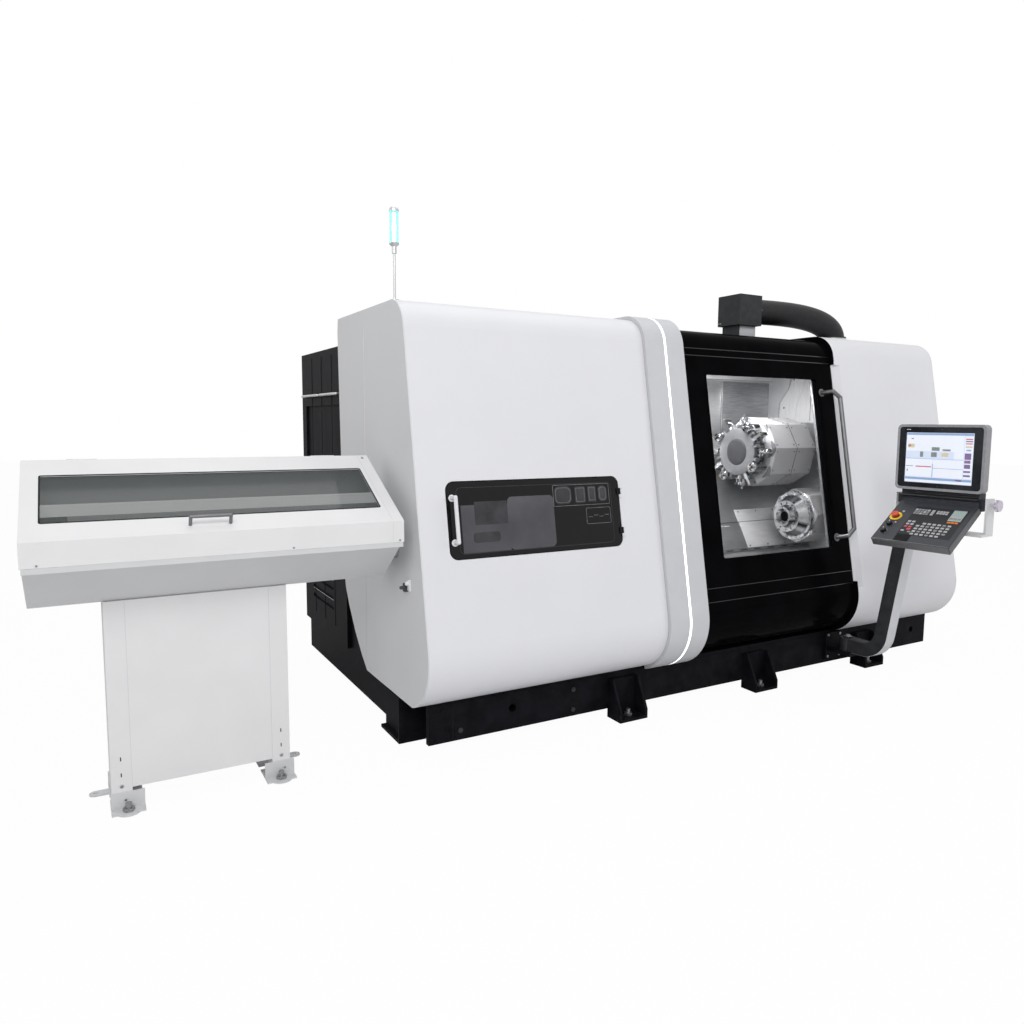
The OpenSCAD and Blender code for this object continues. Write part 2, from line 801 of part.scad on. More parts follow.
module hatch() {
    color("#0c0d0f") on_front() difference() {
        union() {
            front_plate(hatch_x, hatch_w, hatch_s, hatch_h, -2, hatch_t, hatch_r);
            for (s = hinge_s) {
                translate([hinge_x, hinge_y, s]) cylinder(h = hinge_len, r = hinge_r);
                block(hinge_x - 16, hinge_x, hinge_y, -1, s, s + hinge_len);
            }
        }
        for (s = hinge_s) translate([hinge_x, hinge_y, s - 1]) cylinder(h = hinge_len + 2, r = pin_r + pin_gap);
    }
}

module hatch_handle() {
    x = hatch_x + 24;
    s0 = hatch_s + 74;
    s1 = s0 + 200;
    color("#eceded") on_front() bent_tube([[x, -2, s0], [x, -44, s0], [x, -44, s1], [x, -2, s1]], 9);
}

pin_pend = 20;
arm_z = 192;
arm_low = arm_z - arm_s / 2;
arm_in = arm_s / 2 - hair;
bend_r = 130;
arm_lean = 8.9;
bend_y = -29;
arm_top = 960;

module pendant_bracket() {
    color("#141517") {
        block(pivot_x - 60, pivot_x + 60, pivot_y - 60, base_y, arm_low - 24, arm_low);
        block(pivot_x - 70, pivot_x + 70, base_y - 20, base_y, 70, skirt_z - 10);
        translate([pivot_x, pivot_y, arm_low - 1]) cylinder(h = arm_s + 8, r = pin_pend);
    }
}

module pendant_arm() {
    h = (arm_top - arm_z - bend_r * (1 - sin(arm_lean)));
    end = [bend_y - bend_r * cos(arm_lean), arm_z + bend_r - bend_r * sin(arm_lean)];
    color("#1a1b1e") difference() {
        union() {
            translate([pivot_x, pivot_y, arm_low]) cylinder(h = arm_s, r = 48);
            block(pivot_x - arm_in, pivot_x + arm_in, bend_y - tuck, pivot_y, arm_z - arm_in, arm_z + arm_in);
            translate([pivot_x - arm_s / 2, bend_y, arm_z + bend_r]) rotate([90, 0, 90]) rotate([0, 0, 180 + arm_lean])
                rotate_extrude(angle = 90 - arm_lean) translate([bend_r - arm_s / 2, 0]) square([arm_s, arm_s]);
            translate([pivot_x, end[0], end[1]]) rotate([arm_lean, 0, 0])
                block(-arm_in, arm_in, -arm_in, arm_in, -tuck, h + 80);
        }
        translate([pivot_x, pivot_y, arm_low - 1]) cylinder(h = arm_s + 2, r = pin_pend + 0.3);
        block(pivot_x - 200, pivot_x + 200, -600, 0, arm_top, arm_top + 400);
    }
}

// Frame of the pendant: across, away from the user, up
module on_pendant() {
    translate([pend_x, pend_y, 0]) rotate([0, 0, -pend_turn]) children();
}

cheek_x0 = mon_w / 2 + 3;
cheek_x1 = cheek_x0 + 12;
yoke_pin = 10;

module pendant_yoke() {
    color("#dfe0e2") on_pendant() difference() {
        union() {
            block(-cheek_x1, cheek_x1, -18, 104, arm_top, arm_top + 12);
            for (m = [0, 1]) mirror([m, 0, 0]) {
                block(cheek_x0, cheek_x1, 28, 104, arm_top + 11, yoke_z + 34);
                translate([0, yoke_y, yoke_z]) rod_x(cheek_x0 - 20, cheek_x0 + 1, yoke_pin);
            }
        }
        translate([0, yoke_y, yoke_z]) rod_x(cheek_x1 - 8, cheek_x1 + 1, 8.35);
    }
}

deck_y = 30;
deck_z = 1119;
deck_t = 45;
stop_at = [-172, -147];
feed_at = [-174, -216];
speed_at = [-178, -278];
stop_r = 11;
knob_stem = 4;

// Frame on the console deck: across, towards the screen, out of the deck
module on_deck() {
    on_pendant() translate([0, deck_y, deck_z]) rotate([deck_tilt, 0, 0]) children();
}

module console() {
    color("#2b2d31") difference() {
        union() {
            on_deck() block(-deck_w / 2, deck_w / 2, -deck_d, 0, -deck_t, 0);
            on_pendant() block(1 - deck_w / 2, deck_w / 2 - 1, deck_y - 2, 96, deck_z - 30, mon_z);
            on_pendant() block(-mon_w / 2, mon_w / 2, 44, 90, deck_z - 14, deck_z + 36);
            on_deck() translate([stop_at[0], stop_at[1], -1]) cylinder(h = 5, r = 24);
        }
        on_pendant() translate([0, yoke_y, yoke_z]) {
            rod_x(cheek_x0 - 24, cheek_x0, yoke_pin + 0.35);
            rod_x(-cheek_x0, -cheek_x0 + 24, yoke_pin + 0.35);
        }
        on_deck() {
            translate([stop_at[0], stop_at[1], -20]) cylinder(h = 30, r = stop_r + 0.4);
            for (p = [feed_at, speed_at]) translate([p[0], p[1], -12]) cylinder(h = 20, r = knob_stem + 0.35);
        }
    }
}

module rounded_tile(w, h, y0, t, z0, r) {
    translate([-w / 2, y0, z0]) {
        block(r, w - r, 0, t, 0, h);
        block(0, w, 0, t, r, h - r);
        for (i = [r, w - r])
            for (k = [r, h - r])
                translate([i, t, k]) rotate([90, 0, 0]) cylinder(h = t, r = r);
    }
}

rim = 12;
screen_t = 6;

module monitor() {
    color("#7c7f84") on_pendant() difference() {
        rounded_tile(mon_w, mon_h, 0, mon_t, mon_z, 26);
        rounded_tile(mon_w - 2 * rim, mon_h - 2 * rim, -1, screen_t + 1, mon_z + rim, 18);
    }
}

module screen() {
    color("#101216") on_pendant()
        rounded_tile(mon_w - 2 * rim - 0.6, mon_h - 2 * rim - 0.6, 0, screen_t, mon_z + rim + 0.3, 17.7);
}

module emergency_stop() {
    color("#c4161c") on_deck() translate([stop_at[0], stop_at[1], 0]) {
        translate([0, 0, -12]) cylinder(h = 22, r = stop_r);
        translate([0, 0, 9]) cylinder(h = 15, r1 = 17, r2 = 20);
    }
}

module knob() {
    translate([0, 0, -10]) cylinder(h = 14, r = knob_stem);
    difference() {
        cylinder(h = 18, r = 15);
        block(-1.2, 1.2, 5, 16, 16, 19);
    }
}

module knob_feed() {
    color("#111214") on_deck() translate([feed_at[0], feed_at[1], 0]) knob();
}

module knob_speed() {
    color("#111214") on_deck() translate([speed_at[0], speed_at[1], 0]) knob();
}

knob_end = cheek_x1 + 46;
grip_r = 30;

module tilt_knob() {
    color("#d7d2dc") on_pendant() translate([0, yoke_y, yoke_z]) {
        rod_x(cheek_x1 - 7, cheek_x1 + 20, 8);
        rod_x(cheek_x1 + 16, knob_end - 14, 17);
        translate([knob_end - 18, 0, 0]) rotate([0, 90, 0]) cylinder(h = 18, r1 = grip_r - 6, r2 = grip_r);
    }
}

tub_in = load_t + 1;
flange_y = load_y0 - 2;
lid_axis = [load_y1 + 12, lid_z - 6];
lid_knuckle = 60;
lid_at = [load_x0 + 180, load_x1 - 240];

module loader_tub() {
    top = [load_y0 + 7, lip_z];
    color("#d9dbdd") {
        difference() {
            along_x(load_x0 + tub_in, load_x1 - tub_in)
                polygon([top, [342, tub_z], [load_y1, tub_z], [load_y1, lid_z - 30]]);
            along_x(load_x0 + tub_in + load_t, load_x1 - tub_in - load_t)
                polygon([top + [6, 1], [344, tub_z + load_t], [load_y1 - load_t, tub_z + load_t],
                    [load_y1 - load_t, lid_z + 60], top + [6, 340]]);
            translate([0, axis_y, axis_z]) rod_x(load_x1 - 40, load_x1 + 10, bore_r + 7);
        }
        block(load_x0 + tub_in, load_x1 - tub_in, flange_y, load_y0 + 16, lip_z - 20, lip_z);
        for (x = lid_at) {
            translate([x - 24, lid_axis[0], lid_axis[1]]) rotate([0, 90, 0]) cylinder(h = lid_knuckle + 48, r = 4);
            for (k = [x - 24, x + lid_knuckle + 1]) {
                translate([k, lid_axis[0], lid_axis[1]]) rotate([0, 90, 0]) cylinder(h = 23, r = 8);
                block(k, k + 23, load_y1 - 1, lid_axis[0] + 8, lid_z - 70, lid_axis[1]);
            }
        }
    }
}

// Frame on the lid: along, up the lid, out of it
module on_lid() {
    translate([0, load_y1, lid_z]) rotate([lid_a, 0, 0]) children();
}

pane_x0 = load_x0 + 65;
pane_x1 = load_x1 - 73;

module loader_lid() {
    color("#eceded") difference() {
        union() {
            on_lid() difference() {
                block(load_x0, load_x1, -lid_len, 0, -load_t, 0);
                block(pane_x0, pane_x1, -436, -120, -load_t - 1, 1);
            }
            block(load_x0, load_x1, load_y0, load_y0 + load_t, lip_z, lip_z + lip_h);
            for (x = [load_x0, load_x1 - load_t]) along_x(x, x + load_t)
                polygon([[load_y0, lip_z], [load_y0, lip_z + lip_h], [load_y1, lid_z], [load_y1, lid_z - 18]]);
            for (x = lid_at) {
                translate([x, lid_axis[0], lid_axis[1]]) rotate([0, 90, 0]) cylinder(h = lid_knuckle, r = 8);
                block(x, x + lid_knuckle, load_y1 - 4, lid_axis[0], lid_axis[1] + 1, lid_axis[1] + 6);
            }
        }
        for (x = lid_at)
            translate([x - 1, lid_axis[0], lid_axis[1]]) rotate([0, 90, 0]) cylinder(h = lid_knuckle + 2, r = 4.35);
    }
}

module lid_window() {
    color("#5d6b68") on_lid() block(pane_x0 - 20, pane_x1 + 20, -456, -100, -load_t - 4, -load_t);
}

module lid_handle() {
    x0 = load_x0 + 556;
    x1 = x0 + 146;
    color("#8b8e92") on_lid() bent_tube([[x0, -496, 0], [x0, -496, 38], [x1, -496, 38], [x1, -496, 0]], 6.5);
}

ped_y2 = load_y1 - 20;
foot_at = [ped_x + 57, ped_x + ped_w - 46];

// Closed pedestal with four corner posts that reach down to the feet
module loader_pedestal() {
    color("#e6e7e9") {
        block(ped_x, ped_x + ped_w, ped_y, ped_y2, 86, tub_z);
        for (x = [ped_x, ped_x + ped_w - post_w])
            for (y = [ped_y, ped_y2 - post_d])
                block(x, x + post_w, y, y + post_d, 6, 87);
    }
}

module at_loader_feet() {
    translate([foot_at[0], ped_y, 0]) children();
    translate([foot_at[1], ped_y, 0]) mirror([1, 0, 0]) children();
    translate([foot_at[0], ped_y2, 0]) mirror([0, 1, 0]) children();
    translate([foot_at[1], ped_y2, 0]) rotate([0, 0, 180]) children();
}

ear_hole = 8;
ear_r = 24;
post_w = 75;
post_d = 95;

// Bent foot: floor flange with a bolt and an upright plate on the post
module loader_foot() {
    difference() {
        union() {
            block(-62, 62, -54, post_d, 0, 6);
            translate([0, -34, 0]) cylinder(h = 6, r = 44);
        }
        translate([0, -34, -1]) cylinder(h = 8, r = bolt_r + 1.5);
    }
    block(-62, 62, -6, 0, 5, 72);
}

// Side ear of a rear foot with a free hole for a floor anchor
module loader_ear() {
    difference() {
        union() {
            block(-111, -61, 38 - ear_r, 38 + ear_r, 0, 6);
            translate([-111, 38, 0]) cylinder(h = 6, r = ear_r);
        }
        translate([-111, 38, -1]) cylinder(h = 8, r = ear_hole);
    }
}

module loader_feet() {
    color("#dddee0") {
        at_loader_feet() loader_foot();
        translate([foot_at[0], ped_y2, 0]) mirror([0, 1, 0]) loader_ear();
        translate([foot_at[1], ped_y2, 0]) rotate([0, 0, 180]) loader_ear();
    }
}

module feed_channel() {
    color("#a9adb1") difference() {
        block(load_x0 + 40, load_x1 - 40, axis_y - 46, axis_y + 46, tub_z + load_t, axis_z);
        translate([0, axis_y, axis_z]) rod_x(load_x0, load_x1, bore_r + 2);
    }
}

rail_z = 1180;

module feed_rail() {
    color("#d4d5d3") block(load_x0 + tub_in + load_t, load_x1 - tub_in - load_t, axis_y - 26, axis_y + 26, rail_z, rail_z + 42);
}

module bar_pusher() {
    x = load_x0 + 60;
    color("#4a4d50") {
        block(x, x + 90, axis_y - 22, axis_y + 22, rail_z - 60, rail_z);
        block(x + 20, x + 60, axis_y - 10, axis_y + 10, axis_z, rail_z - 59);
        translate([0, axis_y, axis_z]) rod_x(x, x + 150, 22);
    }
}

shift_x = (load_x0 + base_x2) / 2;
shift_y = (pend_y - knob_end * sin(pend_turn) + (yoke_y - grip_r) * cos(pend_turn) + base_y2 + foot_reach) / 2;

place() base_frame();
place() foot_brackets();
place() floor_bolts();
place() slant_bed();
place() guide_rails();
place() headstock();
place() main_spindle();
place() guide_tube();
place() counter_head();
place() counter_spindle();
place() collet_chuck();
place() turret_carriage();
place() way_cover();
place() turret_housing();
place() turret_disc();
place() tool_holders();
place() disc_cap();
place() left_front_panel();
place() left_side_panel();
place() belt_trim();
place() led_strip();
place() door_top_cover();
place() door_sill();
place() door_frame();
place() door_rails();
place() right_front_panel();
place() right_side_panel();
place() back_wall();
place() left_wall();
place() right_wall();
place() chip_chute();
place() rear_cabinet();
place() signal_pole();
place() signal_lamp();
place() duct_box();
place() duct_hose();
place() door_panel();
place() door_glass();
place() door_handle();
place() hatch();
place() hatch_handle();
place() pendant_bracket();
place() pendant_arm();
place() pendant_yoke();
place() console();
place() monitor();
place() screen();
place() emergency_stop();
place() knob_feed();
place() knob_speed();
place() tilt_knob();
place() loader_tub();
place() loader_pedestal();
place() loader_feet();
place() loader_lid();
place() lid_window();
place() lid_handle();
place() feed_channel();
place() feed_rail();
place() bar_pusher();
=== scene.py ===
import math

import bmesh
import bpy
from mathutils import Matrix, Vector


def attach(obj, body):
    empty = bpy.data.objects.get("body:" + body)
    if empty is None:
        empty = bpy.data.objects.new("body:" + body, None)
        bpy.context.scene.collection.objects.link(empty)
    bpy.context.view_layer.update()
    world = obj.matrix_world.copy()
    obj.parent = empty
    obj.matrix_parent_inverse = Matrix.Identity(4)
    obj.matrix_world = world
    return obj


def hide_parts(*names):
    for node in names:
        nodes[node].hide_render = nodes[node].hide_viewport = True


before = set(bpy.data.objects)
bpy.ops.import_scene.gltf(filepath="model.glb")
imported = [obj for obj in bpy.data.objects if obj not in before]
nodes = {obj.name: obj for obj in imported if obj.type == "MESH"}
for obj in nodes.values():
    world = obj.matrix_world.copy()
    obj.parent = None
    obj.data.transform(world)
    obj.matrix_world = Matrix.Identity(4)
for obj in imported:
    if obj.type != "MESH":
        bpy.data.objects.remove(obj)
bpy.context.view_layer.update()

# Drawing frames: millimetres of the machine, along X, from the front line, from the floor
LEAN = math.radians(10.56)           # the cabinet's front leans back
SLOPE = math.radians(60)             # the slant bed
TURN = math.radians(-86)             # the console, turned to the operator
TILT = math.radians(35)              # the console's deck
LID_SLOPE = math.atan(260 / 483)     # the loader's lid
HOSE_TURN = math.radians(-12.29)     # the air hose, seen from above
DUCT = (2540, 695, 2265)             # where the air hose leaves its box
SHIFT = Vector((1.179, 0.757126, 0))
FIT = Matrix.Translation(-SHIFT) @ Matrix.Scale(0.001, 4)


def at(base, x=0, y=0, z=0, rx=0, ry=0, rz=0):
    turn = Matrix.Rotation(rz, 4, "Z") @ Matrix.Rotation(ry, 4, "Y") @ Matrix.Rotation(rx, 4, "X")
    return base @ Matrix.Translation((x, y, z)) @ turn


FRONT = at(FIT, 0, 0, 494, rx=-LEAN)
SLANT = at(FIT, 0, 400, 970, rx=SLOPE)
TURRET = at(SLANT, 2400, 462, 0)
COUNTER = at(SLANT, 2600, 0, 0)
PEND = at(FIT, 2850, -430, 0, rz=TURN)
DECK = at(PEND, 0, 30, 1119, rx=TILT)
LID = at(FIT, 0, 580, 1386, rx=LID_SLOPE)
LID_FACE = at(LID, rx=math.radians(-90))
HOSE_RUN = at(FIT, *DUCT, rz=HOSE_TURN)


# Materials
def shader(name, color, rough, metal=0.0, spec=0.5, grain=0.04, grain_scale=30.0, rough_var=0.06, bump=0.03,
           bump_scale=400.0, stretch=(1, 1, 1), alpha=1.0, glow=0.0, glow_color=None, aniso=0.0, dirt=0.0,
           dirt_color=(0.2, 0.2, 0.2)):
    """Paint, metal or plastic with a grain in its colour and roughness, a fine bump, and stains if dirt is given."""
    m = bpy.data.materials.new(name)
    m.use_nodes = True
    t = m.node_tree
    b = t.nodes["Principled BSDF"]
    b.inputs["Metallic"].default_value = metal
    b.inputs["Specular IOR Level"].default_value = spec
    b.inputs["Anisotropic"].default_value = aniso
    b.inputs["Alpha"].default_value = alpha
    if glow:
        b.inputs["Emission Color"].default_value = (*(glow_color or color), 1)
        b.inputs["Emission Strength"].default_value = glow
    co = t.nodes.new("ShaderNodeTexCoord")
    mp = t.nodes.new("ShaderNodeMapping")
    mp.inputs["Scale"].default_value = stretch
    t.links.new(co.outputs["Object"], mp.inputs["Vector"])
    n = t.nodes.new("ShaderNodeTexNoise")
    n.inputs["Scale"].default_value = grain_scale
    n.inputs["Detail"].default_value = 5
    t.links.new(mp.outputs["Vector"], n.inputs["Vector"])
    ramp = t.nodes.new("ShaderNodeValToRGB")
    ramp.color_ramp.elements[0].position = 0.3
    ramp.color_ramp.elements[1].position = 0.7
    ramp.color_ramp.elements[0].color = (*[max(0, c * (1 - grain)) for c in color], 1)
    ramp.color_ramp.elements[1].color = (*[min(1, c * (1 + grain)) for c in color], 1)
    t.links.new(n.outputs["Fac"], ramp.inputs["Fac"])
    out = ramp.outputs["Color"]
    if dirt:
        d = t.nodes.new("ShaderNodeTexNoise")
        d.inputs["Scale"].default_value = 9
        d.inputs["Detail"].default_value = 8
        d.inputs["Roughness"].default_value = 0.7
        t.links.new(co.outputs["Object"], d.inputs["Vector"])
        r2 = t.nodes.new("ShaderNodeMapRange")
        r2.inputs["From Min"].default_value = 0.5
        r2.inputs["From Max"].default_value = 0.8
        r2.inputs["To Max"].default_value = dirt
        t.links.new(d.outputs["Fac"], r2.inputs["Value"])
        mix = t.nodes.new("ShaderNodeMixRGB")
        mix.inputs["Color2"].default_value = (*dirt_color, 1)
        t.links.new(r2.outputs["Result"], mix.inputs["Fac"])
        t.links.new(out, mix.inputs["Color1"])
        out = mix.outputs["Color"]
    t.links.new(out, b.inputs["Base Color"])
    rr = t.nodes.new("ShaderNodeMapRange")
    rr.inputs["To Min"].default_value = max(0.02, rough - rough_var)
    rr.inputs["To Max"].default_value = min(1, rough + rough_var)
    t.links.new(n.outputs["Fac"], rr.inputs["Value"])
    t.links.new(rr.outputs["Result"], b.inputs["Roughness"])
    if bump:
        n2 = t.nodes.new("ShaderNodeTexNoise")
        n2.inputs["Scale"].default_value = bump_scale
        n2.inputs["Detail"].default_value = 3
        t.links.new(mp.outputs["Vector"], n2.inputs["Vector"])
        bp = t.nodes.new("ShaderNodeBump")
        bp.inputs["Strength"].default_value = bump
        bp.inputs["Distance"].default_value = 0.002
        t.links.new(n2.outputs["Fac"], bp.inputs["Height"])
        t.links.new(bp.outputs["Normal"], b.inputs["Normal"])
    return m


WHITE = shader("white_coat", (0.765, 0.768, 0.80), 0.36, spec=0.4, grain=0.012, grain_scale=3, bump=0.02,
               bump_scale=600)
# the cabinet's white coat made darker: painted shade, used on the end panels and the pendant yoke
WHITE_PAINTED_SHADE = shader("white_coat_painted_shade", (0.70, 0.705, 0.72), 0.42, spec=0.4, grain=0.015, grain_scale=3, bump=0.03, bump_scale=600)
BELT = shader("belt_coat", (0.60, 0.605, 0.63), 0.40, metal=0.12, spec=0.35, grain=0.02, grain_scale=8, bump=0.015,
              bump_scale=900)
LOADER = shader("loader_coat", (0.79, 0.79, 0.80), 0.46, spec=0.4, grain=0.02, grain_scale=5, bump=0.05,
                bump_scale=700)
# the loader's coat made darker for the tub, its feet and its seam lines: painted shade, as the tub faces down
LOADER_PAINTED_SHADE = shader("loader_coat_painted_shade", (0.66, 0.665, 0.68), 0.5, spec=0.35, grain=0.025, grain_scale=5, bump=0.05, bump_scale=700)
LED = shader("led_diffuser", (0.9, 0.95, 1.0), 0.5, grain=0.01, glow=1.6, glow_color=(0.92, 0.98, 1.0), bump=0.0)
GLOSS = shader("gloss_black", (0.0028, 0.0028, 0.0034), 0.14, spec=0.008, grain=0.3, grain_scale=6, bump=0.01,
               bump_scale=25)
HATCH = shader("hatch_black", (0.003, 0.003, 0.004), 0.06, spec=0.3, grain=0.3, grain_scale=6, bump=0.0)
BASE = shader("base_black", (0.0062, 0.0062, 0.0086), 0.55, spec=0.07, grain=0.5, grain_scale=14, bump=0.12,
              bump_scale=300, dirt=0.3, dirt_color=(0.03, 0.03, 0.034))
DARK = shader("dark_paint", (0.03, 0.031, 0.034), 0.5, spec=0.3, grain=0.3, grain_scale=18, bump=0.06, bump_scale=500)
CAST = shader("casting", (0.16, 0.165, 0.17), 0.6, metal=0.2, grain=0.25, grain_scale=25, bump=0.15, bump_scale=250)
LINER = shader("stainless_liner", (0.60, 0.605, 0.61), 0.33, metal=0.85, grain=0.08, grain_scale=14,
               stretch=(1, 1, 14), bump=0.05, bump_scale=60, dirt=0.25, dirt_color=(0.34, 0.34, 0.35))
LINER_DARK = shader("dark_liner", (0.289, 0.292, 0.306), 0.4, metal=0.6, grain=0.2, grain_scale=12,
                    stretch=(1, 1, 10), bump=0.05, bump_scale=60)
HOUSING = shader("housing_paint", (0.68, 0.68, 0.695), 0.38, metal=0.25, grain=0.07, grain_scale=9, bump=0.05,
                 bump_scale=300, dirt=0.3, dirt_color=(0.36, 0.36, 0.37))
STEEL = shader("ground_steel", (0.58, 0.585, 0.60), 0.27, metal=1.0, grain=0.1, grain_scale=60, bump=0.05,
               bump_scale=500, aniso=0.4)
CHROME = shader("polished_steel", (0.47, 0.475, 0.49), 0.22, metal=1.0, grain=0.06, grain_scale=40, bump=0.02,
                bump_scale=300)
DISC = shader("disc_steel", (0.125, 0.126, 0.135), 0.42, metal=0.5, grain=0.12, grain_scale=35, bump=0.06,
              bump_scale=400, dirt=0.3, dirt_color=(0.26, 0.26, 0.27))
CAP = shader("cap_grey", (0.055, 0.055, 0.061), 0.55, metal=0.1, grain=0.25, grain_scale=40, bump=0.08,
             bump_scale=500)
GLASS = shader("window_glass", (0.05, 0.055, 0.06), 0.03, spec=0.5, grain=0.02, rough_var=0.01, bump=0.0, alpha=0.07)
PANE = shader("lid_pane", (0.035, 0.048, 0.045), 0.05, spec=0.5, grain=0.1, grain_scale=12, rough_var=0.02, bump=0.0,
              alpha=0.38)
LAMP = shader("lamp_lens", (0.10, 0.72, 0.60), 0.25, grain=0.04, alpha=0.55, glow=0.75, glow_color=(0.30, 0.98, 0.88),
              bump=0.0)
HOSE = shader("hose_rubber", (0.012, 0.012, 0.014), 0.45, spec=0.4, grain=0.3, grain_scale=40, bump=0.1,
              bump_scale=350)
CONSOLE = shader("console_shell", (0.030, 0.032, 0.040), 0.46, spec=0.4, grain=0.15, grain_scale=50, bump=0.1,
                 bump_scale=1500)
RIM = shader("rim_grey", (0.29, 0.293, 0.31), 0.4, spec=0.45, grain=0.1, grain_scale=60, bump=0.08, bump_scale=1500)
LIP = shader("lip_grey", (0.15, 0.151, 0.158), 0.4, metal=0.3, grain=0.08, grain_scale=60, bump=0.06, bump_scale=1200)
SCREEN = shader("screen_glass", (0.018, 0.019, 0.023), 0.12, spec=0.3, grain=0.2, bump=0.0)
RED = shader("stop_red", (0.58, 0.05, 0.012), 0.3, spec=0.5, grain=0.08, grain_scale=80, bump=0.03, bump_scale=900)
YELLOW = shader("stop_yellow", (0.80, 0.50, 0.015), 0.4, grain=0.06, grain_scale=80, bump=0.03, bump_scale=900)
KNOB = shader("knob_black", (0.010, 0.010, 0.012), 0.42, grain=0.2, grain_scale=90, bump=0.08, bump_scale=1200)
LILAC = shader("clamp_knob", (0.62, 0.58, 0.66), 0.4, grain=0.05, grain_scale=60, bump=0.04, bump_scale=900)
ALU = shader("satin_aluminium", (0.66, 0.665, 0.67), 0.35, metal=0.9, grain=0.08, grain_scale=20, stretch=(6, 1, 1),
             bump=0.03, bump_scale=300)
# the rail's glow is painted light: it stands for the light that falls on the rail inside the closed loader
PALE_RAIL_PAINTED_LIGHT = shader("pale_rail_painted_light", (0.82, 0.83, 0.82), 0.45, glow=0.4, glow_color=(0.93, 0.95, 0.95), metal=0.1, grain=0.05,
              grain_scale=12, bump=0.04, bump_scale=300)
SEAM = shader("seam_shadow", (0.02, 0.02, 0.022), 0.8, spec=0.1, grain=0.2, bump=0.0)
BOLT = shader("bolt_steel", (0.36, 0.36, 0.37), 0.35, metal=0.9, grain=0.2, grain_scale=150, bump=0.08,
              bump_scale=900)
BEZEL = shader("bezel_black", (0.024, 0.024, 0.028), 0.35, spec=0.25, grain=0.12, grain_scale=80, bump=0.03,
               bump_scale=900)
HANDLE = shader("handle_steel", (0.21, 0.212, 0.22), 0.33, metal=0.9, grain=0.06, grain_scale=25, bump=0.0)
DUCT_PAINT = shader("duct_paint", (0.030, 0.032, 0.035), 0.5, spec=0.25, grain=0.25, grain_scale=20, bump=0.06,
                    bump_scale=400)

LOOKS = {
    "base_frame": BASE, "foot_brackets": BASE, "floor_bolts": BOLT, "slant_bed": CAST, "guide_rails": STEEL,
    "headstock": HOUSING, "main_spindle": STEEL, "guide_tube": STEEL, "counter_head": HOUSING,
    "counter_spindle": STEEL, "collet_chuck": CHROME, "turret_carriage": CAST, "way_cover": LINER,
    "turret_housing": HOUSING, "turret_disc": DISC, "tool_holders": CHROME, "disc_cap": CAP,
    "left_front_panel": WHITE, "left_side_panel": WHITE_PAINTED_SHADE, "belt_trim": BELT, "led_strip": LED,
    "door_top_cover": GLOSS, "door_sill": GLOSS, "door_frame": DARK, "door_rails": DARK,
    "right_front_panel": WHITE, "right_side_panel": WHITE_PAINTED_SHADE, "back_wall": LINER, "left_wall": LINER,
    "right_wall": LINER, "chip_chute": LINER, "rear_cabinet": BASE, "signal_pole": ALU, "signal_lamp": LAMP,
    "duct_box": DUCT_PAINT, "duct_hose": HOSE, "door_panel": GLOSS, "door_glass": GLASS, "door_handle": HANDLE,
    "hatch": HATCH, "hatch_handle": WHITE, "pendant_bracket": BASE, "pendant_arm": DARK, "pendant_yoke": WHITE_PAINTED_SHADE,
    "console": CONSOLE, "monitor": RIM, "screen": SCREEN, "emergency_stop": RED, "knob_feed": KNOB,
    "knob_speed": KNOB, "tilt_knob": LILAC, "loader_tub": LOADER_PAINTED_SHADE, "loader_pedestal": LOADER, "loader_feet": LOADER_PAINTED_SHADE,
    "loader_lid": LOADER, "lid_window": PANE, "lid_handle": HANDLE, "feed_channel": ALU, "feed_rail": PALE_RAIL_PAINTED_LIGHT,
    "bar_pusher": DARK,
}
for name, look in LOOKS.items():
    mesh = nodes[name].data
    mesh.materials.clear()
    mesh.materials.append(look)

# Camera at the photograph's place
yaw, pitch, roll = math.radians(29.5964), math.radians(-5.9675), math.radians(0.4218)
fw = Vector((math.sin(yaw) * math.cos(pitch), math.cos(yaw) * math.cos(pitch), math.sin(pitch)))
r0 = Vector((math.cos(yaw), -math.sin(yaw), 0))
u0 = r0.cross(fw)
right = r0 * math.cos(roll) + u0 * math.sin(roll)
up = u0 * math.cos(roll) - r0 * math.sin(roll)
cam = bpy.data.cameras.new("camera")
cam.lens = 27.548
cam.sensor_width = 36
cam.shift_x = -0.00464
cam.shift_y = -0.0079
cam.clip_end = 100
eye = bpy.data.objects.new("camera", cam)
bpy.context.collection.objects.link(eye)
eye.matrix_world = Matrix.Translation((-2.475, -3.792226, 1.5494)) @ Matrix((right, up, -fw)).transposed().to_4x4()
scene = bpy.context.scene
scene.camera = eye
scene.view_settings.view_transform = "Standard"

# Floor, world and studio lamps
WORLD_LIGHT, WORLD_GLOSS = 0.42, 0.8     # strength of the white world as light and in reflections
FLOOR_WHITE = 0.97                       # share of plain white in the floor that the camera sees; the rest is lit
world = bpy.data.worlds.new("studio")
scene.world = world
world.use_nodes = True
wt = world.node_tree
back = wt.nodes["Background"]
path = wt.nodes.new("ShaderNodeLightPath")


def seen(tree, path):
    """1 for what the camera sees, straight or through a pane."""
    a = tree.nodes.new("ShaderNodeMath")
    a.operation = "MAXIMUM"
    tree.links.new(path.outputs["Is Camera Ray"], a.inputs[0])
    tree.links.new(path.outputs["Is Transmission Ray"], a.inputs[1])
    return a.outputs[0]


def level(tree, path, plain, glossy):
    """Strength 1 for what the camera sees, its own for reflections, and less for the light on the object."""
    g = tree.nodes.new("ShaderNodeMapRange")
    g.inputs["To Min"].default_value = plain
    g.inputs["To Max"].default_value = glossy
    tree.links.new(path.outputs["Is Glossy Ray"], g.inputs["Value"])
    mix = tree.nodes.new("ShaderNodeMix")
    tree.links.new(seen(tree, path), mix.inputs[0])
    tree.links.new(g.outputs["Result"], mix.inputs[2])
    mix.inputs[3].default_value = 1.0
    return mix.outputs[0]


back.inputs["Color"].default_value = (1, 1, 1, 1)
wt.links.new(level(wt, path, WORLD_LIGHT, WORLD_GLOSS), back.inputs["Strength"])

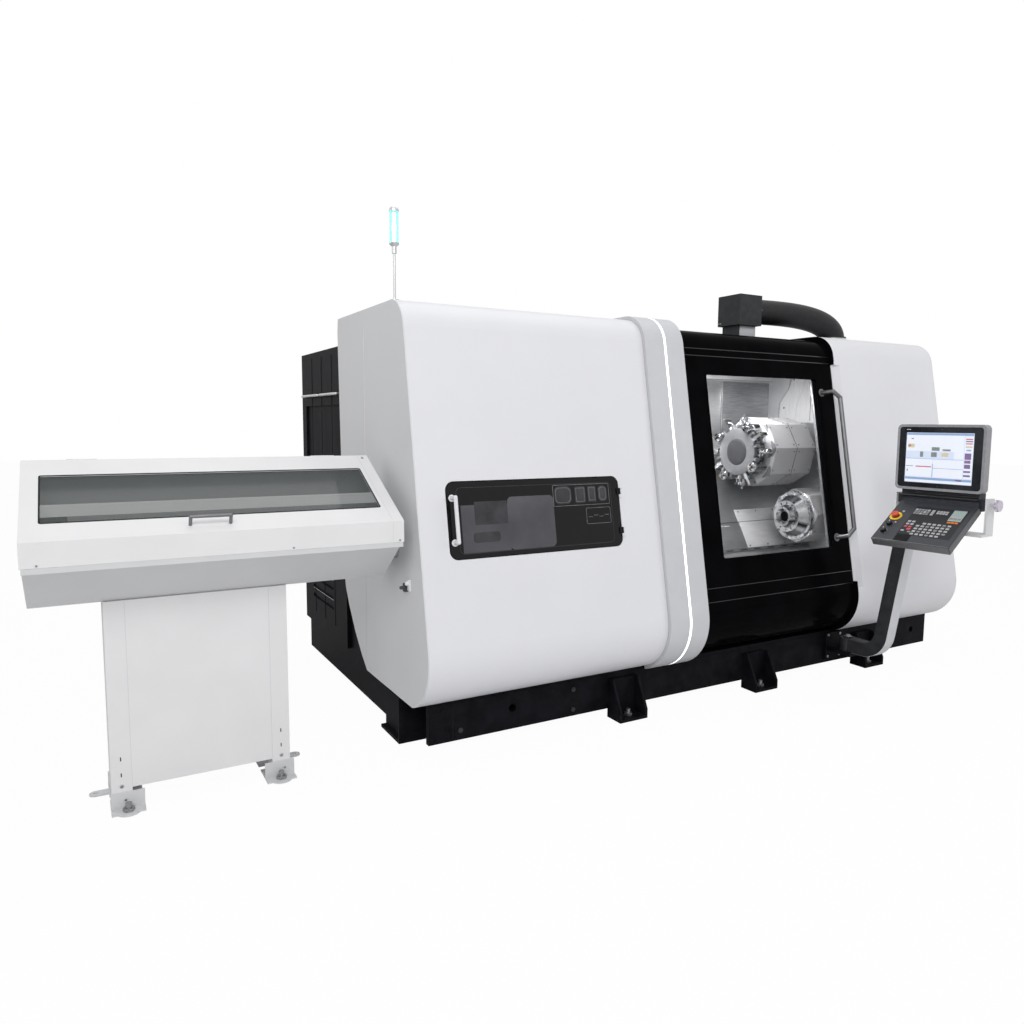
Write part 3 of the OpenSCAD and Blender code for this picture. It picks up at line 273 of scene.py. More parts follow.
floor_look = bpy.data.materials.new("floor")
floor_look.use_nodes = True
ft = floor_look.node_tree
fb = ft.nodes["Principled BSDF"]
fb.inputs["Base Color"].default_value = (0.82, 0.82, 0.82, 1)
fb.inputs["Roughness"].default_value = 0.9
fb.inputs["Specular IOR Level"].default_value = 0.1
fp = ft.nodes.new("ShaderNodeLightPath")
em = ft.nodes.new("ShaderNodeEmission")
mixer = ft.nodes.new("ShaderNodeMixShader")
soft = ft.nodes.new("ShaderNodeMath")
soft.operation = "MULTIPLY"
soft.inputs[1].default_value = FLOOR_WHITE
ft.links.new(seen(ft, fp), soft.inputs[0])
ft.links.new(soft.outputs[0], mixer.inputs[0])
ft.links.new(fb.outputs[0], mixer.inputs[1])
ft.links.new(em.outputs[0], mixer.inputs[2])
ft.links.new(mixer.outputs[0], ft.nodes["Material Output"].inputs["Surface"])
REACH, DROP = 30, -0.002                 # half the floor's width, and its place just under the feet
floor_mesh = bpy.data.meshes.new("floor")
corners = [(-REACH, -REACH, DROP), (REACH, -REACH, DROP), (REACH, REACH, DROP), (-REACH, REACH, DROP)]
floor_mesh.from_pydata(corners, [], [(0, 1, 2, 3)])
floor_mesh.materials.append(floor_look)
ground = bpy.data.objects.new("floor", floor_mesh)
bpy.context.collection.objects.link(ground)


def lamp(name, place, target, size, power):
    light = bpy.data.lights.new(name, "AREA")
    light.shape = "RECTANGLE"
    light.size, light.size_y = size
    light.energy = power
    ob = bpy.data.objects.new(name, light)
    bpy.context.collection.objects.link(ob)
    ob.location = place
    ob.rotation_euler = (Vector(target) - Vector(place)).to_track_quat("-Z", "Y").to_euler()
    return ob


lamp("key", (-3.5, -5.5, 5.2), (0, -0.3, 1.0), (4.5, 3.0), 218)
lamp("fill", (5.5, -5.0, 3.6), (0.8, -0.3, 1.0), (3.5, 3.0), 95).visible_glossy = False
lamp("top", (0, 0.2, 6.0), (0, 0, 0), (6, 4), 72)
lamp("rim", (-5.5, 2.6, 3.2), (-1.2, 0, 1.0), (3.0, 3.0), 22)
lamp("work_light", FIT @ Vector((2180, 560, 1860)), FIT @ Vector((2180, 660, 900)), (0.7, 0.14), 13)


# Mesh helpers, all in millimetres of a drawing frame
def move(x, y, z):
    return Matrix.Translation((x, y, z))


def spun(degrees, axis="X"):
    return Matrix.Rotation(math.radians(degrees), 4, axis)


def turns(n):
    """Angles of n even steps round a circle."""
    return [2 * math.pi * i / n for i in range(n)]


FACE_X = spun(-90, "Y")      # turned pieces that look along -X
FACE_Y = spun(90)            # turned pieces that look along -Y
TO_X = spun(90, "Y")         # turned pieces that look along +X


def new_faces(bm, before, mat):
    for f in bm.faces:
        if f not in before:
            f.material_index = mat


def add_box(bm, x0, x1, y0, y1, z0, z1, bevel=1.0, seg=2, mat=0, place=None):
    """Box with rounded edges between two corners."""
    before = set(bm.faces)
    made = bmesh.ops.create_cube(bm, size=1)["verts"]
    for v in made:
        sx, sy, sz = (c + 0.5 for c in v.co)
        p = Vector((x0 + sx * (x1 - x0), y0 + sy * (y1 - y0), z0 + sz * (z1 - z0)))
        v.co = place @ p if place else p
    if bevel:
        edges = list(dict.fromkeys(e for v in made for e in v.link_edges))
        bmesh.ops.bevel(bm, geom=edges, offset=bevel, segments=seg, profile=0.5, affect="EDGES")
    new_faces(bm, before, mat)


def add_turned(bm, profile, place=None, n=40, mat=0):
    """Turns a list of (radius, height) round the Z axis of place."""
    before = set(bm.faces)
    place = place or Matrix()
    rings = []
    for r, h in profile:
        if r < 1e-6:
            rings.append([bm.verts.new(place @ Vector((0, 0, h)))])
        else:
            rings.append([bm.verts.new(place @ Vector((r * math.cos(a), r * math.sin(a), h))) for a in turns(n)])
    for a, b in zip(rings, rings[1:]):
        for i in range(n):
            j = (i + 1) % n
            loop = [a[i % len(a)], a[j % len(a)], b[j % len(b)], b[i % len(b)]]
            loop = [v for k, v in enumerate(loop) if v not in loop[:k]]
            if len(loop) > 2:
                bm.faces.new(loop)
    new_faces(bm, before, mat)


def screw_profile(r, h):
    """Socket screw head."""
    return [(0, h * 0.35), (r * 0.5, h * 0.35), (r * 0.5, h), (r * 0.86, h), (r, h * 0.8), (r, 0)]


def hex_profile(r, h):
    """Hexagon bolt head, turned with six sides."""
    return [(0, h), (r * 0.8, h), (r, h * 0.85), (r, 0)]


def add_tube(bm, pts, r, n=14, mat=0):
    """Round tube along a line of points, closed at both ends."""
    before = set(bm.faces)
    pts = [Vector(p) for p in pts]
    rings = []
    side = None
    for k, p in enumerate(pts):
        d = (pts[min(k + 1, len(pts) - 1)] - pts[max(k - 1, 0)]).normalized()
        if side is None:
            side = d.orthogonal().normalized()
        side = (side - d * side.dot(d)).normalized()
        other = d.cross(side)
        rings.append([bm.verts.new(p + side * r * math.cos(a) + other * r * math.sin(a)) for a in turns(n)])
    for a, b in zip(rings, rings[1:]):
        for i in range(n):
            bm.faces.new((a[i], a[(i + 1) % n], b[(i + 1) % n], b[i]))
    bm.faces.new(rings[0])
    bm.faces.new(rings[-1])
    new_faces(bm, before, mat)


def rounded_path(pts, r, k=6):
    """Polyline with its corners rounded."""
    pts = [Vector(p) for p in pts]
    out = [pts[0]]
    for a, b, c in zip(pts, pts[1:], pts[2:]):
        p = b + (a - b).normalized() * r
        q = b + (c - b).normalized() * r
        for i in range(k + 1):
            t = i / k
            out.append(p * (1 - t) ** 2 + b * 2 * t * (1 - t) + q * t * t)
    return out + [pts[-1]]


def round_rect(x0, x1, z0, z1, r, k=6):
    """Outline of a rectangle with rounded corners."""
    out = []
    for cx, cz, a in ((x1 - r, z1 - r, 0), (x0 + r, z1 - r, 90), (x0 + r, z0 + r, 180), (x1 - r, z0 + r, 270)):
        for i in range(k + 1):
            t = math.radians(a + 90 * i / k)
            out.append((cx + r * math.cos(t), cz + r * math.sin(t)))
    return out


def drawn_in(loop, e):
    """The loop with each point moved by e towards its middle, along X and along Z."""
    cx = sum(p[0] for p in loop) / len(loop)
    cz = sum(p[1] for p in loop) / len(loop)
    return [(x - math.copysign(e, x - cx), z - math.copysign(e, z - cz)) for x, z in loop]


def add_frame(bm, outer, inner, y0, y1, mat=0, lean=0.0):
    """Ring between two loops of the same length, from y0 (outside) to y1; lean draws in the outside loops."""
    before = set(bm.faces)
    rows = []
    for loop, y, e in ((outer, y1, 0), (outer, y0, lean), (inner, y0, lean), (inner, y1, 0)):
        rows.append([bm.verts.new((x, y, z)) for x, z in drawn_in(loop, e)])
    n = len(outer)
    for a, b in zip(rows, rows[1:]):
        for i in range(n):
            bm.faces.new((a[i], a[(i + 1) % n], b[(i + 1) % n], b[i]))
    new_faces(bm, before, mat)


def add_plate(bm, loop, y0, y1, mat=0, lean=0.6):
    """Plate with a rounded outline lying in X and Z, its outer face at y0."""
    before = set(bm.faces)
    low = [bm.verts.new((x, y1, z)) for x, z in loop]
    mid = [bm.verts.new((x, y0 + lean, z)) for x, z in loop]
    top = [bm.verts.new((x, y0, z)) for x, z in drawn_in(loop, lean)]
    n = len(loop)
    for a, b in ((low, mid), (mid, top)):
        for i in range(n):
            bm.faces.new((a[i], a[(i + 1) % n], b[(i + 1) % n], b[i]))
    bm.faces.new(top)
    new_faces(bm, before, mat)


def add_sheet(bm, pts, off, mat=0):
    """Flat sheet from its outer corners and the step to its inner side."""
    before = set(bm.faces)
    a = [bm.verts.new(Vector(p)) for p in pts]
    b = [bm.verts.new(Vector(p) + Vector(off)) for p in pts]
    bm.faces.new(a)
    bm.faces.new(list(reversed(b)))
    for i in range(len(a)):
        j = (i + 1) % len(a)
        bm.faces.new((a[j], a[i], b[i], b[j]))
    new_faces(bm, before, mat)


def piece(name, bm, base, mats, body, angle=35):
    """Ends a mesh: its frame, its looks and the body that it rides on."""
    bmesh.ops.recalc_face_normals(bm, faces=bm.faces)
    bm.transform(base)
    me = bpy.data.meshes.new(name)
    bm.to_mesh(me)
    bm.free()
    for m in mats:
        me.materials.append(m)
    for p in me.polygons:
        p.use_smooth = True
    me.set_sharp_from_angle(angle=math.radians(angle))
    ob = bpy.data.objects.new(name, me)
    bpy.context.collection.objects.link(ob)
    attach(ob, body)
    return ob


# Screen picture: plain fields only, each with its left, right, bottom, top and the number of its look
UI_BACK = shader("ui_back", (0.30, 0.34, 0.40), 0.3, grain=0.03, grain_scale=20, glow=0.62,
                 glow_color=(0.70, 0.78, 0.95), bump=0.0)
UI_WHITE = shader("ui_white", (0.36, 0.38, 0.40), 0.3, grain=0.02, glow=0.64, glow_color=(0.85, 0.89, 1.0), bump=0.0)
UI_BLUE = shader("ui_blue", (0.20, 0.30, 0.48), 0.3, grain=0.05, glow=0.35, glow_color=(0.30, 0.42, 0.66), bump=0.0)
UI_GREY = shader("ui_grey", (0.22, 0.25, 0.26), 0.3, grain=0.1, glow=0.15, glow_color=(0.30, 0.34, 0.34), bump=0.0)
UI_RED = shader("ui_red", (0.55, 0.10, 0.14), 0.3, grain=0.05, glow=0.25, glow_color=(0.62, 0.16, 0.22), bump=0.0)
UI_VIOLET = shader("ui_violet", (0.20, 0.13, 0.28), 0.3, grain=0.1, glow=0.2, glow_color=(0.30, 0.20, 0.42), bump=0.0)
UI_TAN = shader("ui_tan", (0.55, 0.48, 0.33), 0.3, grain=0.05, glow=0.3, glow_color=(0.66, 0.58, 0.40), bump=0.0)

UI_FIELDS = [
    (-186, 180, 1494, 1505, 2), (-186, -82, 1495, 1504, 1), (8, 40, 1495.5, 1503.5, 1), (138, 180, 1495, 1504, 1),
    (-186, 132, 1405, 1493, 1), (-186, 78, 1364, 1403, 0), (82, 132, 1364, 1492, 1),
    (-186, -34, 1262, 1361, 1), (-30, 132, 1313, 1361, 1), (-30, 132, 1262, 1310, 1),
    (-186, 132, 1361.5, 1363.5, 2), (-34, -30, 1262, 1336, 2), (-30, 132, 1310.4, 1312.6, 2),
    (-178, -140, 1423, 1444, 6), (-176, -160, 1428, 1440, 4), (-160, -146, 1470, 1476, 3),
    (-42, 2, 1408, 1428, 3), (-44, -12, 1374, 1400, 3), (14, 52, 1378, 1398, 6), (18, 62, 1408, 1418, 3),
    (-106, -88, 1372, 1402, 3), (-104, -90, 1376, 1396, 1),
    (-128, -38, 1316, 1322, 4), (-184, -142, 1318, 1321, 3), (-178, -172, 1290, 1302, 3),
    (136, 180, 1262, 1490, 1), (140, 176, 1472, 1478, 4), (140, 176, 1460, 1466, 5), (140, 176, 1448, 1454, 4),
    (138, 172, 1366, 1400, 5), (138, 170, 1346, 1362, 5), (138, 170, 1318, 1340, 5), (136, 172, 1296, 1306, 5),
    (136, 172, 1274, 1284, 5), (140, 176, 1430, 1438, 6), (144, 170, 1412, 1420, 2),
    (-186, 180, 1246, 1258, 2), (-150, -96, 1247, 1256, 1), (-20, 30, 1247, 1256, 1), (96, 128, 1247, 1256, 5),
    (-184, 180, 1231, 1243, 1),
]
UI_LOOKS = [UI_BACK, UI_WHITE, UI_BLUE, UI_GREY, UI_RED, UI_VIOLET, UI_TAN]
bm = bmesh.new()
add_plate(bm, round_rect(-188, 182, 1229, 1507, 2, 2), -0.5, 0, 0, 0.1)
for x0, x1, z0, z1, look in UI_FIELDS:
    front = -0.9 if look < 2 else -1.1      # coloured fields lie over the pale ones
    add_plate(bm, round_rect(x0, x1, z0, z1, 1, 2), front, -0.4, look, 0.1)
piece("screen_picture", bm, PEND, UI_LOOKS, "console")

# Bezel line, status lights and dark buttons of the monitor
bm = bmesh.new()
add_frame(bm, round_rect(-232, 232, 1198, 1542, 20), round_rect(-229, 229, 1201, 1539, 17), -0.6, 0.2, 0, 0.3)
for x in (-186, -178, -170):
    add_turned(bm, [(0, 1.2), (2, 1.0), (2.4, 0)], move(x, 0, 1524) @ FACE_Y, 12, 1)
for x, z in ((10, 1526), (96, 1526), (2, 1212)):
    add_turned(bm, [(0, 0.8), (3, 0.6), (3.6, 0)], move(x, 0, z) @ FACE_Y, 16, 2)
piece("monitor_trim", bm, PEND, [RIM, UI_WHITE, BEZEL], "console")

# Keypad of the console deck
KEY_PALE = shader("key_pale", (0.42, 0.42, 0.43), 0.45, grain=0.08, grain_scale=150, bump=0.05, bump_scale=900)
KEY_GREY = shader("key_grey", (0.24, 0.245, 0.26), 0.45, grain=0.08, grain_scale=150, bump=0.05, bump_scale=900)
KEY_RED = shader("key_red", (0.52, 0.07, 0.10), 0.45, grain=0.08, grain_scale=150, bump=0.05, bump_scale=900)
KEY_ORANGE = shader("key_orange", (0.80, 0.20, 0.01), 0.4, grain=0.08, grain_scale=150, bump=0.05, bump_scale=900)
KEY_TEAL = shader("key_teal", (0.36, 0.45, 0.42), 0.4, grain=0.08, grain_scale=150, bump=0.05, bump_scale=900)
KEY_PAD = shader("key_pad", (0.006, 0.006, 0.007), 0.4, spec=0.1, grain=0.1, grain_scale=150, bump=0.05,
                 bump_scale=900)
KEY_DARK = shader("key_dark", (0.017, 0.017, 0.020), 0.45, spec=0.25, grain=0.1, grain_scale=150, bump=0.05,
                  bump_scale=900)
KEY_LOOKS = [KEY_PALE, KEY_GREY, KEY_RED, KEY_ORANGE, KEY_TEAL, KEY_DARK, KEY_PAD]
pale, grey, red, orange, teal, field, pad = range(len(KEY_LOOKS))


def key(bm, x, y, w, h, look, high=2.4):
    add_box(bm, x - w / 2, x + w / 2, y - h / 2, y + h / 2, -0.5, high, 0.8, 2, look)


bm = bmesh.new()
add_box(bm, -98, 190, -290, -44, -0.5, 0.6, 0.3, 1, field)
for i in range(5):
    for k in range(3):
        key(bm, -86 + i * 17, -72 - k * 16, 14, 13, grey if (i + k) % 4 else pale)
for k in range(3):
    key(bm, 8, -72 - k * 16, 16, 13, pale)
for i in range(4):
    for k in range(2):
        key(bm, 36 + i * 16, -74 - k * 15, 13, 12, pale)
add_box(bm, 112, 180, -140, -50, 0, 1.2, 0.5, 1, teal)
for i in range(3):
    for k in range(4):
        key(bm, 124 + i * 21, -62 - k * 20, 17, 15, (teal, teal, pale, grey)[k], 3)
for i in range(3):
    key(bm, 126 + i * 20, -154, 17, 12, orange, 3)
for i in range(7):
    for k in range(5):
        if (i, k) not in ((0, 0), (6, 4)):
            key(bm, -18 + i * 27, -184 - k * 23, 18, 13, pale if (i * 2 + k) % 5 else grey)
for i in range(2):
    for k in range(3):
        key(bm, -78 + i * 24, -176 - k * 22, 17, 13, pale if k < 2 else red)
key(bm, -52, -240, 20, 15, red)
key(bm, -80, -256, 17, 11, pale)
key(bm, -40, -262, 17, 11, grey)
add_box(bm, -92, -12, -344, -284, -0.5, 1.4, 0.8, 2, pad)
piece("keypad", bm, DECK, KEY_LOOKS, "console")

# Grey lip and side strips of the deck, hinge band behind it
bm = bmesh.new()
add_box(bm, -214, 214, -351.5, -349, -44, -1.5, 1, 2, 0)
for x in (-216.2, 214.2):
    add_box(bm, x, x + 2, -346, -6, -40, -5, 0.8, 2, 0)
add_box(bm, -213, 213, -348, -344, -0.5, 1.6, 0.7, 2, 0)
piece("deck_lip", bm, DECK, [LIP], "console")
bm = bmesh.new()
add_tube(bm, [(-212, 24, 1152), (-100, 24, 1152), (100, 24, 1152), (212, 24, 1152)], 9, 16, 0)
add_box(bm, -200, 200, 20, 26, 1163, 1170, 1, 2, 0)
add_box(bm, -200, 200, 20, 26, 1176, 1182, 1, 2, 0)
piece("hinge_band", bm, PEND, [KNOB], "console")

# Emergency stop: collar and crown. Knobs: ribbed crowns with a mark, scales on the deck
STOP_AT = move(-172, -147, 0)
KNOBS = {"feed": (-174, -216), "speed": (-178, -278)}
bm = bmesh.new()
add_turned(bm, [(20.5, 3.6), (22, 5), (31, 5), (33.6, 3.4), (34, 0), (24.2, 0)], STOP_AT, 48, 0)
piece("stop_collar", bm, DECK, [YELLOW], "console")
bm = bmesh.new()
add_turned(bm, [(0, 24.8), (8, 24.7), (15, 24.3), (18.5, 23.4), (20.1, 22)], STOP_AT, 40, 0)
piece("stop_crown", bm, DECK, [RED], "stop_button")

for name, (kx, ky) in KNOBS.items():
    bm = bmesh.new()
    add_turned(bm, [(0, 19.2), (9, 19.1), (12.6, 18.6), (13.4, 17.9)], move(kx, ky, 0), 32, 0)
    for i in range(18):
        add_box(bm, -1.1, 1.1, 14.4, 15.7, 3, 16, 0.4, 1, 0, move(kx, ky, 0) @ spun(20 * i, "Z"))
    add_box(bm, kx - 1.1, kx + 1.1, ky + 4, ky + 13, 18.6, 19.8, 0.3, 1, 1)
    piece(f"knob_{name}_mark", bm, DECK, [KNOB, UI_WHITE], f"{name}_knob")
bm = bmesh.new()
for kx, ky in KNOBS.values():
    for i in range(-6, 7):
        look = 1 if i > 4 else 0
        add_box(bm, -0.7, 0.7, 19, 23, -0.3, 0.5, 0.2, 1, look, move(kx, ky, 0) @ spun(22.5 * i, "Z"))
key(bm, -150, -196, 9, 9, 0)
key(bm, -196, -250, 9, 9, 1)
add_turned(bm, [(0, 5), (5, 4.6), (7, 3), (7, 0)], move(-150, -100, 0), 20, 0)
piece("knob_scales", bm, DECK, [KEY_PALE, KEY_RED], "console")

# Ribs of the tilt clamp knob
bm = bmesh.new()
for k in range(10):
    add_box(bm, 284, 299, 28.4, 30.6, -4, 4, 1, 2, 0, move(0, 66, 1128) @ spun(36 * k))
piece("clamp_grip", bm, PEND, [LILAC], "clamp_knob")

# Pendant arm: pale face along the outside of its level run, its bend and its leaning post; bolts on the bracket
ARM_X, ARM_Y, ARM_Z = 2860, 90, 192      # the arm's middle line where it turns on the bracket
ARM_HALF = 40
BEND_R = 130
BEND_Y, BEND_Z = -29.0, ARM_Z + BEND_R
POST_LEAN = math.radians(8.9)
POST_TOP = 958
ARM_EDGE = ((-39, 0), (-38, 1.4), (-36, 2), (36, 2), (38, 1.4), (39, 0))      # section of the face: across, out
INSIDE = Vector((60, 420))               # a point on the inner side of the bend, in Y and Z
outer_r = BEND_R + ARM_HALF
run = [(ARM_Y - i * 17, ARM_Z - ARM_HALF) for i in range(8)]
for i in range(13):
    a = math.radians(270) - i / 12 * (math.radians(90) - POST_LEAN)
    run.append((BEND_Y + outer_r * math.cos(a), BEND_Z + outer_r * math.sin(a)))
foot_y, foot_z = BEND_Y - outer_r * math.cos(POST_LEAN), BEND_Z - outer_r * math.sin(POST_LEAN)
length = (POST_TOP - foot_z) / math.cos(POST_LEAN)
for i in range(1, 9):
    run.append((foot_y - length * i / 8 * math.sin(POST_LEAN), foot_z + length * i / 8 * math.cos(POST_LEAN)))
bm = bmesh.new()
rows = []
for k, (y, z) in enumerate(run):
    a, b = run[max(k - 1, 0)], run[min(k + 1, len(run) - 1)]
    d = Vector((b[0] - a[0], b[1] - a[1])).normalized()
    out = Vector((-d.y, d.x))
    if out.dot(Vector((y, z)) - INSIDE) < 0:
        out = -out
    rows.append([bm.verts.new((ARM_X + x, y + out.x * o, z + out.y * o)) for x, o in ARM_EDGE])
for a, b in zip(rows, rows[1:]):
    for i in range(len(ARM_EDGE) - 1):
        bm.faces.new((a[i], a[i + 1], b[i + 1], b[i]))
piece("arm_face", bm, FIT, [BELT], "arm")
bm = bmesh.new()
add_turned(bm, hex_profile(15, 10), move(ARM_X, ARM_Y, 240.2), 6, 0)
add_turned(bm, [(0, 3), (22, 3), (24, 2), (24, 0)], move(ARM_X, ARM_Y, 238), 32, 0)
for x in (2806, 2914):
    for z in (90, 226):
        add_turned(bm, hex_profile(9, 7), move(x, 195, z) @ FACE_Y, 6, 0)
piece("bracket_bolts", bm, FIT, [BOLT], "frame")

# Hatch: glass fields, thin border and lines that stand for its print, feet of its handle
HATCH_GLASS = shader("hatch_glass", (0.085, 0.085, 0.095), 0.22, spec=0.25, grain=0.25, grain_scale=4, rough_var=0.05,
                     bump=0.0)
HATCH_SHADE = shader("hatch_shade", (0.045, 0.044, 0.048), 0.25, spec=0.25, grain=0.4, grain_scale=9, rough_var=0.05,
                     bump=0.0)
HATCH_LINE = shader("hatch_line", (0.16, 0.16, 0.168), 0.3, spec=0.3, grain=0.3, grain_scale=40, bump=0.0)
HATCH_Y = -1.6                           # just under the hatch's outer face
PRINT = ((708, 806, 674, 760, 26), (826, 888, 676, 756, 8), (902, 950, 680, 756, 5), (964, 1016, 680, 756, 20))
bm = bmesh.new()
add_frame(bm, round_rect(190, 1042, 472, 774, 22), round_rect(193, 1039, 475, 771, 19), -2.5, HATCH_Y, 0, 0.3)
add_plate(bm, round_rect(208, 452, 476, 692, 4), -2.2, HATCH_Y, 1, 0.2)
add_plate(bm, round_rect(448, 700, 476, 722, 24), -2.4, HATCH_Y, 1, 0.2)
add_plate(bm, round_rect(276, 446, 600, 706, 3), -2.5, HATCH_Y, 2, 0.2)
add_plate(bm, round_rect(262, 400, 520, 566, 14), -2.5, HATCH_Y, 2, 0.2)
add_frame(bm, round_rect(700, 1030, 664, 768, 6), round_rect(702.4, 1027.6, 666.4, 765.6, 4), -2.7, HATCH_Y, 3, 0.3)
add_frame(bm, round_rect(884, 1030, 570, 650, 8), round_rect(886, 1028, 572, 648, 6), -2.7, HATCH_Y, 3, 0.3)
for x0, x1, z0, z1, r in PRINT:
    add_plate(bm, round_rect(x0, x1, z0, z1, r), -2.5, HATCH_Y, 2, 0.2)
    line_out = round_rect(x0 + 6, x1 - 6, z0 + 6, z1 - 6, r - 4)
    line_in = round_rect(x0 + 8, x1 - 8, z0 + 8, z1 - 8, r - 4.6)
    add_frame(bm, line_out, line_in, -2.8, -2.4, 3, 0.2)
for k in range(4):
    z = 604 + 7 * (k % 2)
    add_box(bm, 896 + 32 * k, 922 + 32 * k, -2.7, HATCH_Y, z, z + 2.5, 0.3, 1, 3)
piece("hatch_glass", bm, FRONT, [DARK, HATCH_GLASS, HATCH_SHADE, HATCH_LINE], "hatch")
bm = bmesh.new()
for z in (527, 727):
    add_turned(bm, [(9.5, 0), (16, 0), (16, 2.4), (14, 4), (9.6, 4)], move(168, -2, z) @ FACE_Y, 28, 0)
piece("hatch_handle_feet", bm, FRONT, [WHITE], "hatch")

# Door: gasket of the window, ridges across the door and its bay, feet of the handle
BAY = (1606, 2818)                       # left and right end of the ridges
bm = bmesh.new()
add_frame(bm, round_rect(1773, 2693, 317, 1369, 26), round_rect(1786, 2680, 330, 1356, 13), 27.4, 31, 0, 1.2)
piece("window_gasket", bm, FRONT, [GLOSS], "door")
RIDGE = shader("ridge_black", (0.02, 0.02, 0.022), 0.15, spec=0.5, grain=0.2, bump=0.0)
bm = bmesh.new()
add_box(bm, *BAY, 28.4, 30.5, 174, 178, 0.7, 2, 0)
add_box(bm, *BAY, 28.0, 30.5, 1456, 1461, 0.8, 2, 0)
piece("door_ridges", bm, FRONT, [RIDGE], "door")
bm = bmesh.new()
add_box(bm, *BAY, 28.2, 30.5, 1496, 1501, 0.8, 2, 0)
add_box(bm, *BAY, 28.4, 30.5, 100, 104, 0.7, 2, 0)
piece("bay_ridges", bm, FRONT, [RIDGE], "frame")
bm = bmesh.new()
for z in (386, 1274):
    add_turned(bm, [(13.4, 0), (24, 0), (24, 3), (21, 5), (13.6, 5)], move(2719, 30, z) @ FACE_Y, 32, 0)
piece("handle_feet", bm, FRONT, [HANDLE], "door")

# Left end: seam between its panels and the small fittings
bm = bmesh.new()
add_box(bm, -1.2, 0.3, 812, 817, 300, 2010, 0.4, 2, 0)
add_box(bm, -0.5, 0.3, 817, 820, 300, 2010, 0.1, 1, 1)
piece("side_seams", bm, FIT, [WHITE, CAST], "frame")
bm = bmesh.new()
add_box(bm, -9, 0, 196, 226, 790, 842, 3, 3, 0)
add_turned(bm, [(0, 15), (8, 14), (10, 11), (10, 0)], move(-9, 211, 826) @ FACE_X, 24, 0)
add_box(bm, -20, 0, 232, 254, 782, 822, 4, 3, 1)
add_turned(bm, [(0, 18), (6, 17), (8, 14), (8, 0)], move(-20, 243, 802) @ FACE_X, 24, 1)
piece("side_fitting", bm, FIT, [LOADER, CAP], "frame")

# Rear cabinet: pale bars, door seams, locks and painted highlights along two slot edges on its left end, handles,
# hinges and louvres at the back
CABINET_X = 30                           # left face of the rear cabinet
BAR_X, BAR_Z = 4, 1701
BACK_DOORS = (160, 1060, 1960, 2860)     # left edges
bm = bmesh.new()
for y0, y1 in ((1340, 1650), (1720, 2050)):
    bar = [(CABINET_X, y0, BAR_Z), (BAR_X, y0, BAR_Z), (BAR_X, y1, BAR_Z), (CABINET_X, y1, BAR_Z)]
    add_tube(bm, rounded_path(bar, 14), 8, 12, 0)
for y in (1480, 1690, 1900):
    add_box(bm, 27.5, 31, y - 1.5, y + 1.5, 330, 1930, 0.4, 1, 1)
for z in (760, 860):
    add_box(bm, 27.5, 31, 1300, 2100, z - 1.5, z + 1.5, 0.4, 1, 1)
for y in (1560, 1770):
    add_turned(bm, [(0, 9), (10, 8), (14, 5), (14, 0)], move(CABINET_X, y, 1100) @ FACE_X, 24, 2)
# pale strips along the lower edges of two slots: painted highlights
for z in (478, 598):
    add_box(bm, 28.2, 31, 1512, 1948, z, z + 3, 0.8, 2, 0)
piece("cabinet_fittings", bm, FIT, [ALU, SEAM, CAP], "frame")
bm = bmesh.new()
for x in BACK_DOORS:
    add_box(bm, x + 720, x + 744, 2132, 2139.5, 1000, 1180, 4, 3, 0)
    for z in (420, 1790):
        add_box(bm, x + 6, x + 22, 2130, 2139, z, z + 90, 3, 2, 0)
    for k in range(9):
        add_box(bm, x + 180, x + 620, 2132, 2136, 420 + 32 * k, 434 + 32 * k, 2, 2, 1)
piece("rear_doors", bm, FIT, [CAP, SEAM], "frame")

# Turret disc: ring on its face, wedges with screws between the stations, cover of the hub
STATIONS = 12
STEP = 360 / STATIONS
SATIN = shader("satin_steel", (0.24, 0.242, 0.254), 0.44, metal=0.35, grain=0.08, grain_scale=30, bump=0.05,
               bump_scale=350)
bm = bmesh.new()
add_turned(bm, [(84, 3), (86, 3.4), (143, 3.4), (147, 2.4), (149, 0)], FACE_X, 96, 0)
for i in range(STATIONS):
    half = spun(STEP * (i + 0.5))
    add_box(bm, -3, 24, 139, 174, -8, 8, 2.5, 3, 0, half)
    add_turned(bm, screw_profile(4.5, 3), half @ move(-3, 160, 0) @ FACE_X, 16, 1)
piece("disc_details", bm, TURRET, [SATIN, BOLT], "turret")
bm = bmesh.new()
add_turned(bm, [(0, 9.2), (70, 9.2), (74, 8.4), (82, 5), (87, 1.4), (88, 0)], FACE_X, 72, 0)
add_turned(bm, [(40, 9.3), (41, 9.6), (43, 9.6), (44, 9.2)], FACE_X, 64, 0)
piece("hub_cover", bm, TURRET, [CAP], "turret")

